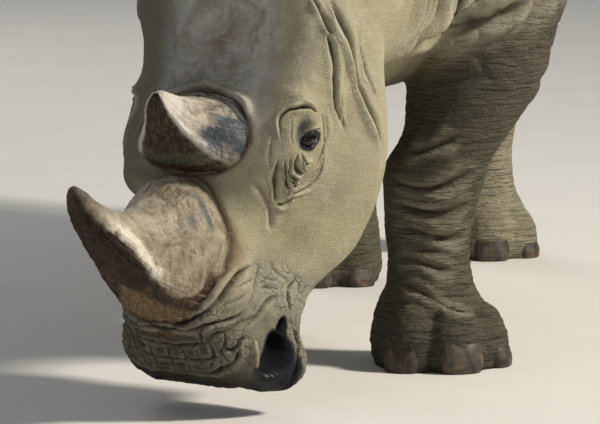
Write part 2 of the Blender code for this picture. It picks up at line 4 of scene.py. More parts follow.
import bpy
import numpy as np
from mathutils import Matrix


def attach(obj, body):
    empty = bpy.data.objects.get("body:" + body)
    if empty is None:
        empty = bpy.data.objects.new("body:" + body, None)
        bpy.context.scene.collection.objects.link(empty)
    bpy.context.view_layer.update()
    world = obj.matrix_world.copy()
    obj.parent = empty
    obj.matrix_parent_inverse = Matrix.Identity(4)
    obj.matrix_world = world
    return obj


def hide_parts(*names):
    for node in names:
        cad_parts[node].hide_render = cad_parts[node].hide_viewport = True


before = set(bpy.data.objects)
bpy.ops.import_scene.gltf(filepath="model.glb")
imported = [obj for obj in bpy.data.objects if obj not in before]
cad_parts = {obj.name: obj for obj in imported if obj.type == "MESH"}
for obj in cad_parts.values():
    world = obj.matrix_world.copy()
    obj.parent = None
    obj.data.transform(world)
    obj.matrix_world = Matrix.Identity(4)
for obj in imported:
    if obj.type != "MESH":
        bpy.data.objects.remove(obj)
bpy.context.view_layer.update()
print("solids loaded:", len(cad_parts))


frameShift = np.array([0.0, -0.496, 0.0])       # from where the tables' places start to the middle of the box
headPose = {"turn": -28.0, "pitch": 69.0, "nose": (-0.239, -0.808, 0.125)}
eyeSizes = {"place": (0.181, 0.464, -0.100), "radius": 0.021, "cornea": 0.0013, "slack": 0.0004}
feet = {"foreleg_left": (0.220, 0.000), "foreleg_right": (-0.225, 0.300),
        "hindleg_left": (0.150, 1.617), "hindleg_right": (-0.145, 1.136)}
legRoots = {"foreleg_left": (0.300, 0.100), "foreleg_right": (-0.270, 0.170),
            "hindleg_left": (0.240, 1.500), "hindleg_right": (-0.240, 1.450)}
footTurn = {"foreleg_left": 30.0, "foreleg_right": -24.0, "hindleg_left": 16.0, "hindleg_right": -10.0}
toes = {"spread": 52.0, "reach": 0.090, "size": (0.064, 0.062, 0.094)}
headMiddle = np.array([0, 0.35, -0.17])         # in the head's own frame


def curve(a, b, c, d, t):
    # from b to c: 0.5 (2b + (c - a) t + (2a - 5b + 4c - d) t^2 + (3b - a - 3c + d) t^3)
    return 0.5 * (2 * b + (c - a) * t + (2 * a - 5 * b + 4 * c - d) * t**2 + (3 * b - a - 3 * c + d) * t**3)


def smoothTable(rows, steps):
    # the curve through the rows, at evenly spread places
    rows = np.array(rows, float)
    ends = np.vstack([2 * rows[0] - rows[1], rows, 2 * rows[-1] - rows[-2]])
    place = np.linspace(0, len(rows) - 1, steps)
    first = np.minimum(place.astype(int), len(rows) - 2)
    return curve(*(ends[first + k] for k in range(4)), (place - first)[:, None])


def ramp(x, low, high):
    # 3 t^2 - 2 t^3 of t = (x - low) / (high - low), held between 0 and 1
    t = np.clip((x - low) / (high - low), 0, 1)
    return t * t * (3 - 2 * t)


def unit(v):
    return v / np.linalg.norm(v, axis=-1, keepdims=True)


def farness(points, centre, reach):
    # the sum over the axes of ((p - c) / r)^2
    return np.sum(((points - np.array(centre)) / np.array(reach)) ** 2, axis=-1)


def turned(axis, degrees):
    # the rotation matrix about X or Z
    c, s = math.cos(math.radians(degrees)), math.sin(math.radians(degrees))
    return np.array({"X": [[1, 0, 0], [0, c, -s], [0, s, c]], "Z": [[c, -s, 0], [s, c, 0], [0, 0, 1]]}[axis])


headTurn = turned("Z", headPose["turn"]) @ turned("X", headPose["pitch"])
headNose = np.array(headPose["nose"]) + frameShift


def toBody(points):
    # head's own frame (left, along from the lips, up from the nose) to the body's: R p + n
    return np.asarray(points, float) @ headTurn.T + headNose


def toHead(points):
    # R^T (p - n)
    return (np.asarray(points, float) - headNose) @ headTurn


def scatter(cells, seed):
    # one number from 0 to 1 for each whole cell, by multiply, xor and shift
    c = cells.astype(np.int64).astype(np.uint32)
    h = c[..., 0] * np.uint32(73856093) ^ c[..., 1] * np.uint32(19349663) ^ c[..., 2] * np.uint32(83492791)
    h = h ^ np.uint32(seed * 374761393 & 0xFFFFFFFF)
    h = (h ^ (h >> np.uint32(13))) * np.uint32(1274126177)
    h = (h ^ (h >> np.uint32(16))) * np.uint32(2246822519)
    return (h ^ (h >> np.uint32(15))) / 4294967296.0


def softNoise(points, seed=0):
    # cell corners' numbers blended by 3t^2 - 2t^3 along each axis, from -1 to 1
    cell = np.floor(points)
    t = points - cell
    t = t * t * (3 - 2 * t)
    total = 0
    for corner in range(8):
        step = np.array([corner & 1, corner >> 1 & 1, corner >> 2])
        share = np.prod(np.where(step, t, 1 - t), axis=-1)
        total = total + share * scatter(cell + step, seed)
    return total * 2 - 1


def roughNoise(points, octaves=3, seed=0):
    # sum of noise(2^k p) / 2^k
    return sum(softNoise(points * 2**k + 17.3 * k, seed + k) / 2**k for k in range(octaves))


def drift(points, fineness, seeds):
    # a soft noise of fineness * p for each seed, side by side
    return np.stack([softNoise(points * fineness, seed) for seed in seeds], 1)


def cracks(points, seed=0, loose=0.9):
    # second nearest minus nearest distance to one loose point in each cell: 0 on the lines between plates
    cell = np.floor(points)
    best = np.full((2, len(points)), 9.0)
    for k in range(27):
        there = cell + np.array([k % 3 - 1, k // 3 % 3 - 1, k // 9 - 1])
        spot = there + 0.5 + loose * (np.stack([scatter(there, seed + j) for j in (1, 2, 3)], -1) - 0.5)
        away = np.linalg.norm(spot - points, axis=1)
        closer = away < best[0]
        best[1] = np.where(closer, best[0], np.minimum(best[1], away))
        best[0] = np.where(closer, away, best[0])
    return best[1] - best[0]


def loft(rings):
    # neighbours in a (row, column) grid joined by two triangles, and a fan to each end's mean
    rings = np.asarray(rings, float)
    rows, columns = rings.shape[:2]
    index = np.arange(rows * columns).reshape(rows, columns)
    low, high = index[:-1], index[1:]
    lowNext, highNext = np.roll(low, -1, 1), np.roll(high, -1, 1)
    tail, tip = np.full(columns, rows * columns), np.full(columns, rows * columns + 1)
    faces = np.concatenate([np.stack([low, lowNext, highNext], 2).reshape(-1, 3),
                            np.stack([low, highNext, high], 2).reshape(-1, 3),
                            np.stack([tail, np.roll(index[0], -1), index[0]], 1),
                            np.stack([tip, index[-1], np.roll(index[-1], -1)], 1)])
    points = np.concatenate([rings.reshape(-1, 3), rings[:1].mean(1), rings[-1:].mean(1)])
    a, b, c = (points[faces[:, k]] for k in range(3))
    outward = np.sum(a * np.cross(b, c)) > 0
    return points, faces if outward else faces[:, ::-1]


def together(forms):
    # points one after another, and face numbers moved on by the points before
    starts = np.cumsum([0] + [len(points) for points, _ in forms[:-1]])
    return (np.concatenate([points for points, _ in forms]),
            np.concatenate([faces + start for (_, faces), start in zip(forms, starts)]))


def meshOf(name, points, faces):
    mesh = bpy.data.meshes.new(name)
    mesh.vertices.add(len(points))
    mesh.vertices.foreach_set("co", np.ascontiguousarray(points, np.float32).ravel())
    mesh.loops.add(faces.size)
    mesh.loops.foreach_set("vertex_index", np.ascontiguousarray(faces, np.int32).ravel())
    mesh.polygons.add(len(faces))
    mesh.polygons.foreach_set("loop_start", np.arange(0, faces.size, faces.shape[1], dtype=np.int32))
    mesh.update(calc_edges=True)
    mesh.validate()
    mesh.polygons.foreach_set("use_smooth", np.ones(len(faces), bool))
    return mesh


def placed(name, data):
    obj = bpy.data.objects.new(name, data)
    bpy.context.scene.collection.objects.link(obj)
    return obj


def piece(name, points, faces, material, replaced=()):
    obj = placed(name, meshOf(name, points, faces))
    obj.data.materials.append(material)
    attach(obj, "root")
    if replaced:
        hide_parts(*replaced)
    return obj


def pointsOf(mesh):
    points = np.empty(len(mesh.vertices) * 3, np.float32)
    mesh.vertices.foreach_get("co", points)
    return points.reshape(-1, 3).astype(float)


def facesOf(mesh):
    # for a mesh whose faces all have the same number of corners
    corners = np.empty(len(mesh.loops), np.int32)
    mesh.loops.foreach_get("vertex_index", corners)
    return corners.reshape(len(mesh.polygons), -1)


def applied(obj):
    # the mesh that the object's modifier makes; the object goes, and the mesh it had
    made = bpy.data.meshes.new_from_object(obj.evaluated_get(bpy.context.evaluated_depsgraph_get()))
    plain = obj.data
    bpy.data.objects.remove(obj)
    bpy.data.meshes.remove(plain)
    return made


def addMark(mesh, name, values):
    mesh.attributes.new(name, "FLOAT", "POINT").data.foreach_set("value", values.astype(np.float32))


def addGridMark(mesh, name, values):
    # for the points of a loft: those of the grid, then the middles of its two ends
    addMark(mesh, name, np.concatenate([values.ravel(), values[0, :1], values[-1, :1]]))


def normalsOf(points, faces):
    # at each point the mean of the crossed diagonals of the four-cornered faces that meet there
    a, b, c, d = (points[faces[:, k]] for k in range(4))
    flat = np.cross(c - a, d - b)
    total = np.stack([np.bincount(faces.ravel(), np.repeat(flat[:, k], 4), len(points)) for k in range(3)], 1)
    return total / (np.linalg.norm(total, axis=1, keepdims=True) + 1e-12)


def relaxed(points, faces, share, rounds):
    # each round: p + share / 2 * (mean of the neighbours - p)
    ends = faces.ravel()
    others = np.roll(faces, -1, 1).ravel()
    here, there = np.concatenate([ends, others]), np.concatenate([others, ends])
    count = np.bincount(here, minlength=len(points))[:, None]
    for _ in range(rounds):
        mean = np.stack([np.bincount(here, points[there, k], len(points)) for k in range(3)], 1) / count
        points = points + share[:, None] * 0.5 * (mean - points)
    return points


# trunk, from rump to chest: y, top, bottom, half width, height of the widest line, squareness above and below
trunkTable = (
    (1.890, 1.19, 1.00, 0.07, 1.10, 2.0, 2.0), (1.855, 1.31, 0.91, 0.19, 1.07, 2.0, 2.0),
    (1.760, 1.46, 0.79, 0.32, 1.03, 2.1, 2.1), (1.580, 1.57, 0.69, 0.40, 1.00, 2.1, 2.1),
    (1.340, 1.61, 0.63, 0.44, 0.98, 2.0, 2.1), (1.060, 1.59, 0.555, 0.48, 0.96, 2.0, 2.1),
    (0.760, 1.555, 0.515, 0.495, 0.95, 2.0, 2.0), (0.460, 1.57, 0.52, 0.47, 0.96, 2.0, 2.0),
    (0.220, 1.62, 0.53, 0.42, 0.98, 1.9, 2.0), (0.020, 1.65, 0.535, 0.38, 1.00, 1.8, 2.0),
    (-0.150, 1.53, 0.565, 0.31, 1.00, 1.9, 2.0), (-0.270, 1.30, 0.63, 0.22, 0.95, 2.0, 2.0),
    (-0.330, 1.10, 0.74, 0.09, 0.90, 2.0, 2.0),
)
# neck: share of the way from shoulders to head, half width, rise, drop
neckTable = (
    (0.00, 0.36, 0.45, 0.45), (0.25, 0.34, 0.46, 0.50), (0.50, 0.295, 0.34, 0.46),
    (0.72, 0.255, 0.23, 0.37), (0.88, 0.222, 0.18, 0.29), (1.00, 0.185, 0.15, 0.20),
)
# legs, from sole up: height, share of the root's place, outward and backward offset, half width, half length
forelegTable = (
    (-0.020, 0.00, -0.003, -0.020, 0.118, 0.120), (0.000, 0.00, -0.003, -0.016, 0.116, 0.120),
    (0.030, 0.00, -0.003, -0.016, 0.124, 0.126), (0.070, 0.00, -0.003, -0.014, 0.124, 0.124),
    (0.115, 0.00, -0.006, -0.004, 0.112, 0.116), (0.160, 0.00, -0.011, 0.002, 0.090, 0.104),
    (0.210, 0.00, -0.015, 0.008, 0.083, 0.097), (0.260, 0.02, -0.020, 0.010, 0.087, 0.099),
    (0.320, 0.04, -0.013, 0.004, 0.096, 0.107), (0.400, 0.10, -0.006, -0.006, 0.106, 0.118),
    (0.470, 0.22, 0.024, -0.002, 0.108, 0.130), (0.560, 0.40, 0.036, 0.015, 0.134, 0.160),
    (0.660, 0.60, 0.030, 0.035, 0.148, 0.200), (0.760, 0.75, 0.030, 0.045, 0.163, 0.235),
    (0.920, 0.90, 0.020, 0.030, 0.158, 0.262), (1.100, 1.00, 0.000, 0.000, 0.132, 0.268),
    (1.300, 1.00, -0.040, -0.020, 0.082, 0.212),
)
hindlegTable = (
    (-0.020, 0.00, 0.000, -0.012, 0.104, 0.108), (0.000, 0.00, 0.000, -0.010, 0.104, 0.110),
    (0.030, 0.00, 0.000, -0.010, 0.112, 0.114), (0.070, 0.00, 0.000, -0.008, 0.112, 0.112),
    (0.115, 0.00, -0.008, 0.000, 0.100, 0.104), (0.160, 0.00, -0.014, 0.010, 0.084, 0.094),
    (0.240, 0.02, -0.018, 0.022, 0.077, 0.086), (0.330, 0.08, -0.014, 0.046, 0.082, 0.100),
    (0.420, 0.18, -0.004, 0.072, 0.090, 0.122), (0.510, 0.32, 0.008, 0.058, 0.102, 0.134),
    (0.620, 0.48, 0.018, 0.010, 0.126, 0.170), (0.750, 0.65, 0.034, -0.040, 0.156, 0.232),
    (0.900, 0.82, 0.030, -0.050, 0.176, 0.290), (1.080, 0.95, 0.000, -0.030, 0.180, 0.330),
    (1.280, 1.00, -0.030, 0.000, 0.140, 0.300), (1.420, 1.00, -0.060, 0.000, 0.080, 0.200),
)
# head, feature lines in its own frame: along, out, up
headLines = {
    "ridge": ((0.000, 0, -0.160), (0.012, 0, -0.125), (0.030, 0, -0.098), (0.060, 0, -0.056),
              (0.090, 0, -0.020), (0.130, 0, 0.002), (0.200, 0, 0.005), (0.300, 0, 0.000),
              (0.360, 0, -0.006), (0.440, 0, 0.004), (0.540, 0, -0.012), (0.640, 0, -0.008),
              (0.720, 0, 0.025), (0.790, 0, 0.055), (0.860, 0, 0.040)),
    "brow": ((0.000, 0.075, -0.150), (0.012, 0.094, -0.122), (0.030, 0.104, -0.098),
             (0.060, 0.108, -0.070), (0.090, 0.106, -0.050), (0.130, 0.102, -0.036),
             (0.200, 0.098, -0.032), (0.300, 0.106, -0.036), (0.360, 0.142, -0.038),
             (0.420, 0.180, -0.036), (0.470, 0.188, -0.036), (0.540, 0.182, -0.040),
             (0.620, 0.188, -0.036), (0.700, 0.190, -0.020), (0.790, 0.165, 0.000), (0.860, 0.140, -0.010)),
    "cheek": ((0.000, 0.130, -0.190), (0.012, 0.154, -0.188), (0.030, 0.166, -0.184),
              (0.060, 0.169, -0.180), (0.090, 0.156, -0.175), (0.130, 0.140, -0.166),
              (0.200, 0.124, -0.160), (0.290, 0.134, -0.165), (0.350, 0.154, -0.175),
              (0.410, 0.176, -0.180), (0.460, 0.187, -0.182), (0.540, 0.198, -0.185),
              (0.640, 0.208, -0.185), (0.720, 0.210, -0.180), (0.860, 0.195, -0.170)),
    "jaw": ((0.000, 0.112, -0.222), (0.012, 0.145, -0.250), (0.030, 0.163, -0.268),
            (0.060, 0.168, -0.276), (0.090, 0.158, -0.280), (0.130, 0.136, -0.280),
            (0.200, 0.125, -0.300), (0.250, 0.130, -0.328), (0.310, 0.148, -0.370),
            (0.370, 0.160, -0.388), (0.435, 0.177, -0.382), (0.510, 0.186, -0.368),
            (0.580, 0.176, -0.356), (0.660, 0.170, -0.322), (0.750, 0.165, -0.292), (0.860, 0.160, -0.270)),
    "keel": ((0.000, 0, -0.214), (0.012, 0, -0.250), (0.030, 0, -0.272), (0.060, 0, -0.286),
             (0.090, 0, -0.289), (0.130, 0, -0.292), (0.200, 0, -0.312), (0.250, 0, -0.336),
             (0.310, 0, -0.372), (0.370, 0, -0.396), (0.435, 0, -0.402), (0.510, 0, -0.406),
             (0.580, 0, -0.402), (0.660, 0, -0.380), (0.750, 0, -0.350), (0.860, 0, -0.320)),
}


def egg(width, rise, drop, powerUp, powerDown, count):
    # (w cos^(2/n), h sin^(2/n)), with its own height and power above and below the widest line
    turn = np.linspace(0, 2 * np.pi, count, endpoint=False)
    cos, sin = np.cos(turn), np.sin(turn)
    power = np.where(sin > 0, powerUp, powerDown)
    out = width * np.sign(cos) * np.abs(cos) ** (2 / power)
    up = np.where(sin > 0, rise, drop) * np.sign(sin) * np.abs(sin) ** (2 / power)
    return np.stack([out, up], 1)


def headForm(rows=120, columns=96):
    # at each place along the head a closed Catmull-Rom curve through its eight feature points
    places = np.concatenate([np.linspace(0, 0.09, rows // 4, endpoint=False),
                             np.linspace(0.09, 0.86, rows - rows // 4)])
    fine = {name: smoothTable(line, 24 * len(line)) for name, line in headLines.items()}
    ridge, brow, cheek, jaw, keel = (
        np.stack([np.interp(places, fine[name][:, 0], fine[name][:, k]) for k in (1, 2)], 1)
        for name in ("ridge", "brow", "cheek", "jaw", "keel"))
    mirror = np.array([-1, 1])
    around = np.stack([ridge, brow, cheek, jaw, keel, jaw * mirror, cheek * mirror, brow * mirror], 1)
    turn = np.linspace(0, 8, columns, endpoint=False)
    first = turn.astype(int)
    ring = curve(*(around[:, (first + k) % 8] for k in (-1, 0, 1, 2)), (turn - first)[:, None])
    along = np.broadcast_to(places[:, None], ring.shape[:2])
    return loft(toBody(np.stack([ring[..., 0], along, ring[..., 1]], 2)))


def trunkForm(rows=60, columns=64):
    # an egg across the body at each place along it
    rings = []
    for y, top, bottom, width, widest, powerUp, powerDown in smoothTable(trunkTable, rows):
        ring = egg(max(width, 0.02), top - widest, widest - bottom, powerUp, powerDown, columns)
        rings.append(np.stack([ring[:, 0], np.full(columns, y), widest + ring[:, 1]], 1))
    return loft(np.array(rings) + frameShift)


def neckForm(rows=36, columns=56):
    # eggs carried along a cubic Bezier from the shoulders into the head, turning as it does
    start, lead = np.array([0, 0.30, 1.15]) + frameShift, np.array([0, 0.00, 1.12]) + frameShift
    reach, end = toBody([[0, 1.02, -0.17], [0, 0.62, -0.17]])
    rings = []
    for t, width, rise, drop in smoothTable(neckTable, rows):
        centre = (1 - t) ** 3 * start + 3 * t * (1 - t) ** 2 * lead + 3 * t * t * (1 - t) * reach + t**3 * end
        ahead = (1 - t) ** 2 * (lead - start) + 2 * t * (1 - t) * (reach - lead) + t * t * (end - reach)
        ahead = unit(ahead)
        side = (1 - t) * np.array([1.0, 0, 0]) + t * headTurn[:, 0]
        side = unit(side - ahead * (side @ ahead))
        up = np.cross(ahead, side)
        up *= np.sign(up[2])
        ring = egg(width, rise, drop, 2.0, 2.0, columns)
        rings.append(centre + ring[:, :1] * side + ring[:, 1:] * up)
    return loft(rings)


def legTable(name):
    return forelegTable if "fore" in name else hindlegTable


def legForm(name, rows=64, columns=48):
    # squarish rings stacked upwards, their middles moving from the foot to the leg's root
    side = 1 if "left" in name else -1
    foot, root = feet[name], legRoots[name]
    rings = []
    for z, share, out, back, across, along in smoothTable(legTable(name), rows):
        x = foot[0] + share * (root[0] - foot[0]) + side * out
        y = foot[1] + share * (root[1] - foot[1]) + back
        ring = egg(across, along, along, 2.2, 2.2, columns)
        rings.append(np.stack([x + ring[:, 0], y + ring[:, 1], np.full(columns, z)], 1))
    return loft(np.array(rings) + frameShift)


def ball(centre, sizes, axes, rows=16, columns=24):
    # (sin a cos b, sin a sin b, cos a), stretched and turned
    tilt = np.linspace(0.04, np.pi - 0.04, rows)[:, None]
    turn = np.linspace(0, 2 * np.pi, columns, endpoint=False)
    grid = np.stack([np.sin(tilt) * np.cos(turn), np.sin(tilt) * np.sin(turn), np.cos(tilt) + 0 * turn], 2)
    return loft(np.asarray(centre) + (grid * sizes) @ np.asarray(axes, float))


def toeFrames(name):
    # for each toe: the way it points and its sideways direction
    frames = []
    for spread in (-toes["spread"], 0.0, toes["spread"]):
        angle = math.radians(footTurn[name] + spread)
        sin, cos = math.sin(angle), math.cos(angle)
        frames.append((np.array([sin, -cos, 0]), np.array([cos, sin, 0])))
    return frames


def footCentre(name):
    _, _, _, back, _, _ = legTable(name)[2]         # the ring that is widest
    return np.array([feet[name][0], feet[name][1] + back, 0.0]) + frameShift


def footScale(name):
    return 1.0 if "fore" in name else 0.9


def toeForm(name, frameOfToe):
    ahead, side = frameOfToe
    centre = footCentre(name) + ahead * toes["reach"] * footScale(name) + np.array([0, 0, 0.04])
    return ball(centre, np.array(toes["size"]) * footScale(name), (side, ahead, (0, 0, 1)))


ear = {"root": (0.142, 0.755, -0.030), "tip": (0.240, 0.965, 0.165),    # in the head's own frame
       "face": (0.55, -0.35, 0.75), "width": 0.074, "wall": (0.24, 0.004), "bow": 1.12, "back": 0.45,
       "widths": ((-0.1, 0.0, 0.2, 0.5, 0.8, 0.95, 1.0), (0.48, 0.52, 0.74, 1.0, 0.72, 0.30, 0.10)),
       "hollows": ((0.14, 0.28, 0.45, 1.0), (0.0, 0.35, 0.75, 0.55))}   # at shares of its length


def earAxes():
    root, tip = np.array(ear["root"]), np.array(ear["tip"])
    ahead = unit(tip - root)
    face = np.array(ear["face"])
    face = unit(face - ahead * (face @ ahead))
    return root, tip, ahead, face, np.cross(ahead, face)


def earGrid(t, turn):
    # a leaf rolled into a trumpet: v = wall sin + bow (u / w)^2, its hollow deepening towards the middle
    root, tip, _, face, across = earAxes()
    width = ear["width"] * np.interp(t, *ear["widths"])
    hollow = np.interp(t, *ear["hollows"])
    wall = ear["wall"][0] * width + ear["wall"][1]
    u = np.cos(turn) * width
    v = np.sin(turn) * wall + np.cos(turn) ** 2 * width * ear["bow"] * hollow - ear["back"] * width
    v = v - 1.5 * hollow * wall * np.maximum(np.sin(turn), 0)
    return root + (tip - root) * t[..., None] + u[..., None] * across + v[..., None] * face


def earForm(side, rows=48, columns=40):
    around = np.linspace(0, 2 * np.pi, columns, endpoint=False)
    t, turn = np.meshgrid(np.linspace(-0.10, 1.0, rows), around, indexing="ij")
    points = earGrid(t, turn) * np.array([side, 1, 1])
    return loft(toBody(points.reshape(-1, 3)).reshape(rows, columns, 3))


# tail, from inside the rump to the tip: sideways, y, z, half thickness
tailTable = (
    (0.000, 1.780, 1.370, 0.052), (0.000, 1.850, 1.310, 0.054), (0.000, 1.905, 1.240, 0.048),
    (0.001, 1.942, 1.140, 0.036), (0.003, 1.955, 1.020, 0.026), (0.006, 1.955, 0.900, 0.020),
    (0.010, 1.948, 0.780, 0.017), (0.014, 1.938, 0.700, 0.015), (0.016, 1.934, 0.672, 0.006),
)


def tailForm(rows=40, columns=24):
    # rings carried down the tail's line
    table = smoothTable(tailTable, rows)
    ahead = unit(np.gradient(table[:, :3], axis=0))
    up = np.cross(ahead, [1.0, 0, 0])
    turn = np.linspace(0, 2 * np.pi, columns, endpoint=False)[None, :, None]
    ring = np.cos(turn) * np.array([1.0, 0, 0]) + np.sin(turn) * up[:, None]
    return loft(table[:, None, :3] + frameShift + ring * table[:, None, 3:4])


skin = {
    "cell": 0.0105,         # size of a face before the close-up pulls it together
    "closeUps": (           # where faces get small: place, how much, how far
        ("eyeLeft", 2.0, 0.05), ("eyeRight", 2.0, 0.05), ("face", 3.4, 0.42)),
    "face": (0.06, 0.30, -0.13),            # in the head's own frame
    "rounds": 50, "last": 3,                # of smoothing on the body, and then everywhere
    "fromHead": (0.55, 0.15), "fromFloor": (0.30, 0.20),    # where it starts, and how far on it is full
    "tail": (1.36, 1.42), "onTail": 0.25,   # where the tail starts, and how much it is smoothed
    "triangles": 196000,
    "least": 0.1, "freest": 0.9, "hold": 0.0006,    # how freely faces merge on the head and far from it
}


def closeUp(points, centre, strength, reach, back=False):
    # r' = r + strength * reach * (1 - exp(-r / reach)) along each ray from the centre, or the same undone
    away = points - centre
    r = np.linalg.norm(away, axis=1, keepdims=True) + 1e-9
    if not back:
        return centre + away * (1 + strength * reach * (1 - np.exp(-r / reach)) / r)
    plain = np.concatenate([np.linspace(0, reach * 3, 3000), np.linspace(reach * 3.01, 12, 3000)])
    spread = plain + strength * reach * (1 - np.exp(-plain / reach))
    return centre + away * (np.interp(r, spread, plain) / r)


def wrapped(forms):
    # a voxel skin over the forms, made while the face is magnified and then shrunk back
    points, faces = together(forms)
    x, y, z = eyeSizes["place"]
    centres = {"eyeLeft": toBody([(x, y, z)])[0], "eyeRight": toBody([(-x, y, z)])[0],
               "face": toBody([skin["face"]])[0]}
    steps = []
    for name, strength, reach in skin["closeUps"]:
        centre = centres[name]
        for other in steps:
            centre = closeUp(centre[None], *other)[0]
        steps.append((centre, strength, reach))
    for step in steps:
        points = closeUp(points, *step)
    obj = placed("work", meshOf("work", points, faces))
    modifier = obj.modifiers.new("wrap", "REMESH")
    modifier.mode, modifier.voxel_size = "VOXEL", skin["cell"]
    mesh = applied(obj)
    points, faces = pointsOf(mesh), facesOf(mesh)
    bpy.data.meshes.remove(mesh)
    for step in reversed(steps):
        points = closeUp(points, *step, back=True)
    return points, faces


def fleshForms():
    forms = [headForm(), trunkForm(), neckForm(), earForm(1), earForm(-1), tailForm()]
    for name in feet:
        forms += [legForm(name)] + [toeForm(name, toe) for toe in toeFrames(name)]
    return forms


def smoothed(points, faces):
    # relaxed on the trunk, a little on the tail and not on head and feet, then a few rounds everywhere
    (headStart, headWay), (floorStart, floorWay) = skin["fromHead"], skin["fromFloor"]
    away = np.linalg.norm(points - toBody(headMiddle[None])[0], axis=1)
    share = np.clip((away - headStart) / headWay, 0, 1)
    share = share * np.clip((points[:, 2] - floorStart) / floorWay, 0, 1)
    tail = ramp(points[:, 1], *skin["tail"])
    share = share * (1 - tail) + skin["onTail"] * tail
    points = relaxed(points, faces, share, skin["rounds"])
    points = relaxed(points, faces, np.ones(len(points)), skin["last"])
    points[:, 2] = np.maximum(points[:, 2], 0.0)
    return points


points, faces = wrapped(fleshForms())
print("skin wrapped:", len(points), "points")
points = smoothed(points, faces)


def nearLine(coords, line, reach, step, normals=None):
    # for points within reach of a smooth line laid onto them: their numbers, distance to its closest sample,
    # share along it, and the side they are on, the sign of (tangent x offset) . normal
    line = np.asarray(line, float)
    length = np.linalg.norm(np.diff(line, axis=0), axis=1).sum()
    samples = smoothTable(line, max(8, int(length / step)))
    pull = reach + 0.02
    inside = (coords > samples.min(0) - pull) & (coords < samples.max(0) + pull)
    close = np.flatnonzero(np.all(inside, axis=1))
    if coords.shape[1] == 3 and len(close):
        landed = [np.linalg.norm(coords[close] - sample, axis=1).argmin() for sample in samples[::4]]
        offset = coords[close][landed] - samples[::4]
        offset = np.stack([np.convolve(np.pad(k, 3, "edge"), np.ones(7) / 7, "valid") for k in offset.T], 1)
        spots = np.arange(len(samples))
        samples = samples + np.stack([np.interp(spots, spots[::4], k) for k in offset.T], 1)
    found = np.full(len(close), 9.0)
    nearest = np.zeros(len(close), int)
    for k in range(0, len(samples), 40):
        gap = np.linalg.norm(coords[close][:, None] - samples[None, k:k + 40], axis=2)
        best = gap.argmin(1)
        nearer = gap[np.arange(len(close)), best]
        nearest = np.where(nearer < found, best + k, nearest)
        found = np.minimum(found, nearer)
    keep = found < reach
    close, found, nearest = close[keep], found[keep], nearest[keep]
    ahead = np.gradient(samples, axis=0)[nearest]
    offset = coords[close] - samples[nearest]
    if normals is None:
        across = ahead[:, -2] * offset[:, -1] - ahead[:, -1] * offset[:, -2]
    else:
        across = np.sum(np.cross(ahead, offset) * normals[close], axis=1)
    side = across / (np.linalg.norm(ahead, axis=1) * (found + 1e-4) + 1e-9)
    return close, found, nearest / (len(samples) - 1), np.clip(side, -1, 1)


def furrow(work, coords, line, width, depth, lip, lean, allowed, fade=0.2, normals=None):
    # lift = taper depth (lip (1 + lean side) exp(-((d - 2 w) / 1.5 w)^2) - exp(-(d / w)^1.5)), thinner at
    # the ends, for a line, width and depth in millimetres; the seam keeps the signed distance d / w, so that
    # the finish can draw the line finer than the faces are, as a dark line of painted shade in the fold
    line, width, depth = np.array(line) / 1000, width / 1000, depth / 1000
    index, gap, share, side = nearLine(coords, line, 5 * width, width * 0.4, normals)
    taper = ramp(share, 0, fade) * ramp(1 - share, 0, fade)
    local = width * (0.5 + 0.5 * taper) * (1 + 0.22 * np.sin(9 * share + 900 * width))
    taper = taper * (1 + 0.20 * np.sin(13 * share + 700 * depth))
    taper = taper * allowed[index]
    valley = np.exp(-(gap / local) ** 1.5)
    shoulder = np.exp(-((gap - 2.0 * local) / (1.5 * local)) ** 2) * (1 + lean * side)
    work["lift"][index] += taper * depth * (lip * shoulder - valley)
    # the raised lip is marked, to be painted lighter: a painted highlight, partly dust
    work["high"][index] = np.maximum(work["high"][index], taper * lip * shoulder)
    signed = np.where(side < 0, -1, 1) * gap / local
    mark = np.clip(0.5 * depth / width, 0, 1) * taper * ramp(4.5 - np.abs(signed), 0, 2)
    nearer = mark * np.exp(-signed**2 / 6) > work["seamMark"][index] * np.exp(-work["seam"][index] ** 2 / 6)
    work["seam"][index] = np.where(nearer, signed, work["seam"][index])
    work["seamMark"][index] = np.where(nearer, mark, work["seamMark"][index])


def swell(work, coords, centre, radii, height):
    # lift = height * exp(-sum(((p - c) / r)^2))
    work["lift"] += height * np.exp(-farness(coords, centre, radii))


def settle(points, faces, work):
    # points moved along their normals by the lift, which goes back to nothing
    points = points + normalsOf(points, faces) * work["lift"][:, None]
    work["lift"][:] = 0
    return points


headForms = {   # centre and reach in the head's own frame, and height; all come on both sides
    "brow": ((0.190, 0.525, -0.055), (0.05, 0.040, 0.035), 0.009),
    "inFrontOfEye": ((0.160, 0.385, -0.075), (0.06, 0.045, 0.035), -0.009),
    "temple": ((0.210, 0.640, -0.068), (0.05, 0.085, 0.030), -0.016),
    "cheekArch": ((0.205, 0.560, -0.150), (0.05, 0.110, 0.030), 0.006),
    "jawMuscle": ((0.190, 0.470, -0.275), (0.06, 0.100, 0.075), 0.007),
    "behindMuzzle": ((0.130, 0.265, -0.190), (0.06, 0.050, 0.070), -0.008),
    "cheekFront": ((0.150, 0.330, -0.210), (0.05, 0.050, 0.080), 0.004),
    "upperLip": ((0.150, 0.050, -0.120), (0.05, 0.040, 0.050), 0.004),
    "noseSide": ((0.120, 0.170, -0.100), (0.03, 0.060, 0.030), 0.004),
    "hornSaddle": ((0.080, 0.350, -0.020), (0.06, 0.030, 0.03), -0.004),
    "forehead": ((0.050, 0.600, -0.005), (0.07, 0.080, 0.05), -0.005),
    "bridge": ((0.135, 0.368, -0.024), (0.05, 0.036, 0.05), 0.0),
    "bridgeTop": ((0.170, 0.410, -0.036), (0.05, 0.040, 0.05), 0.0),
}
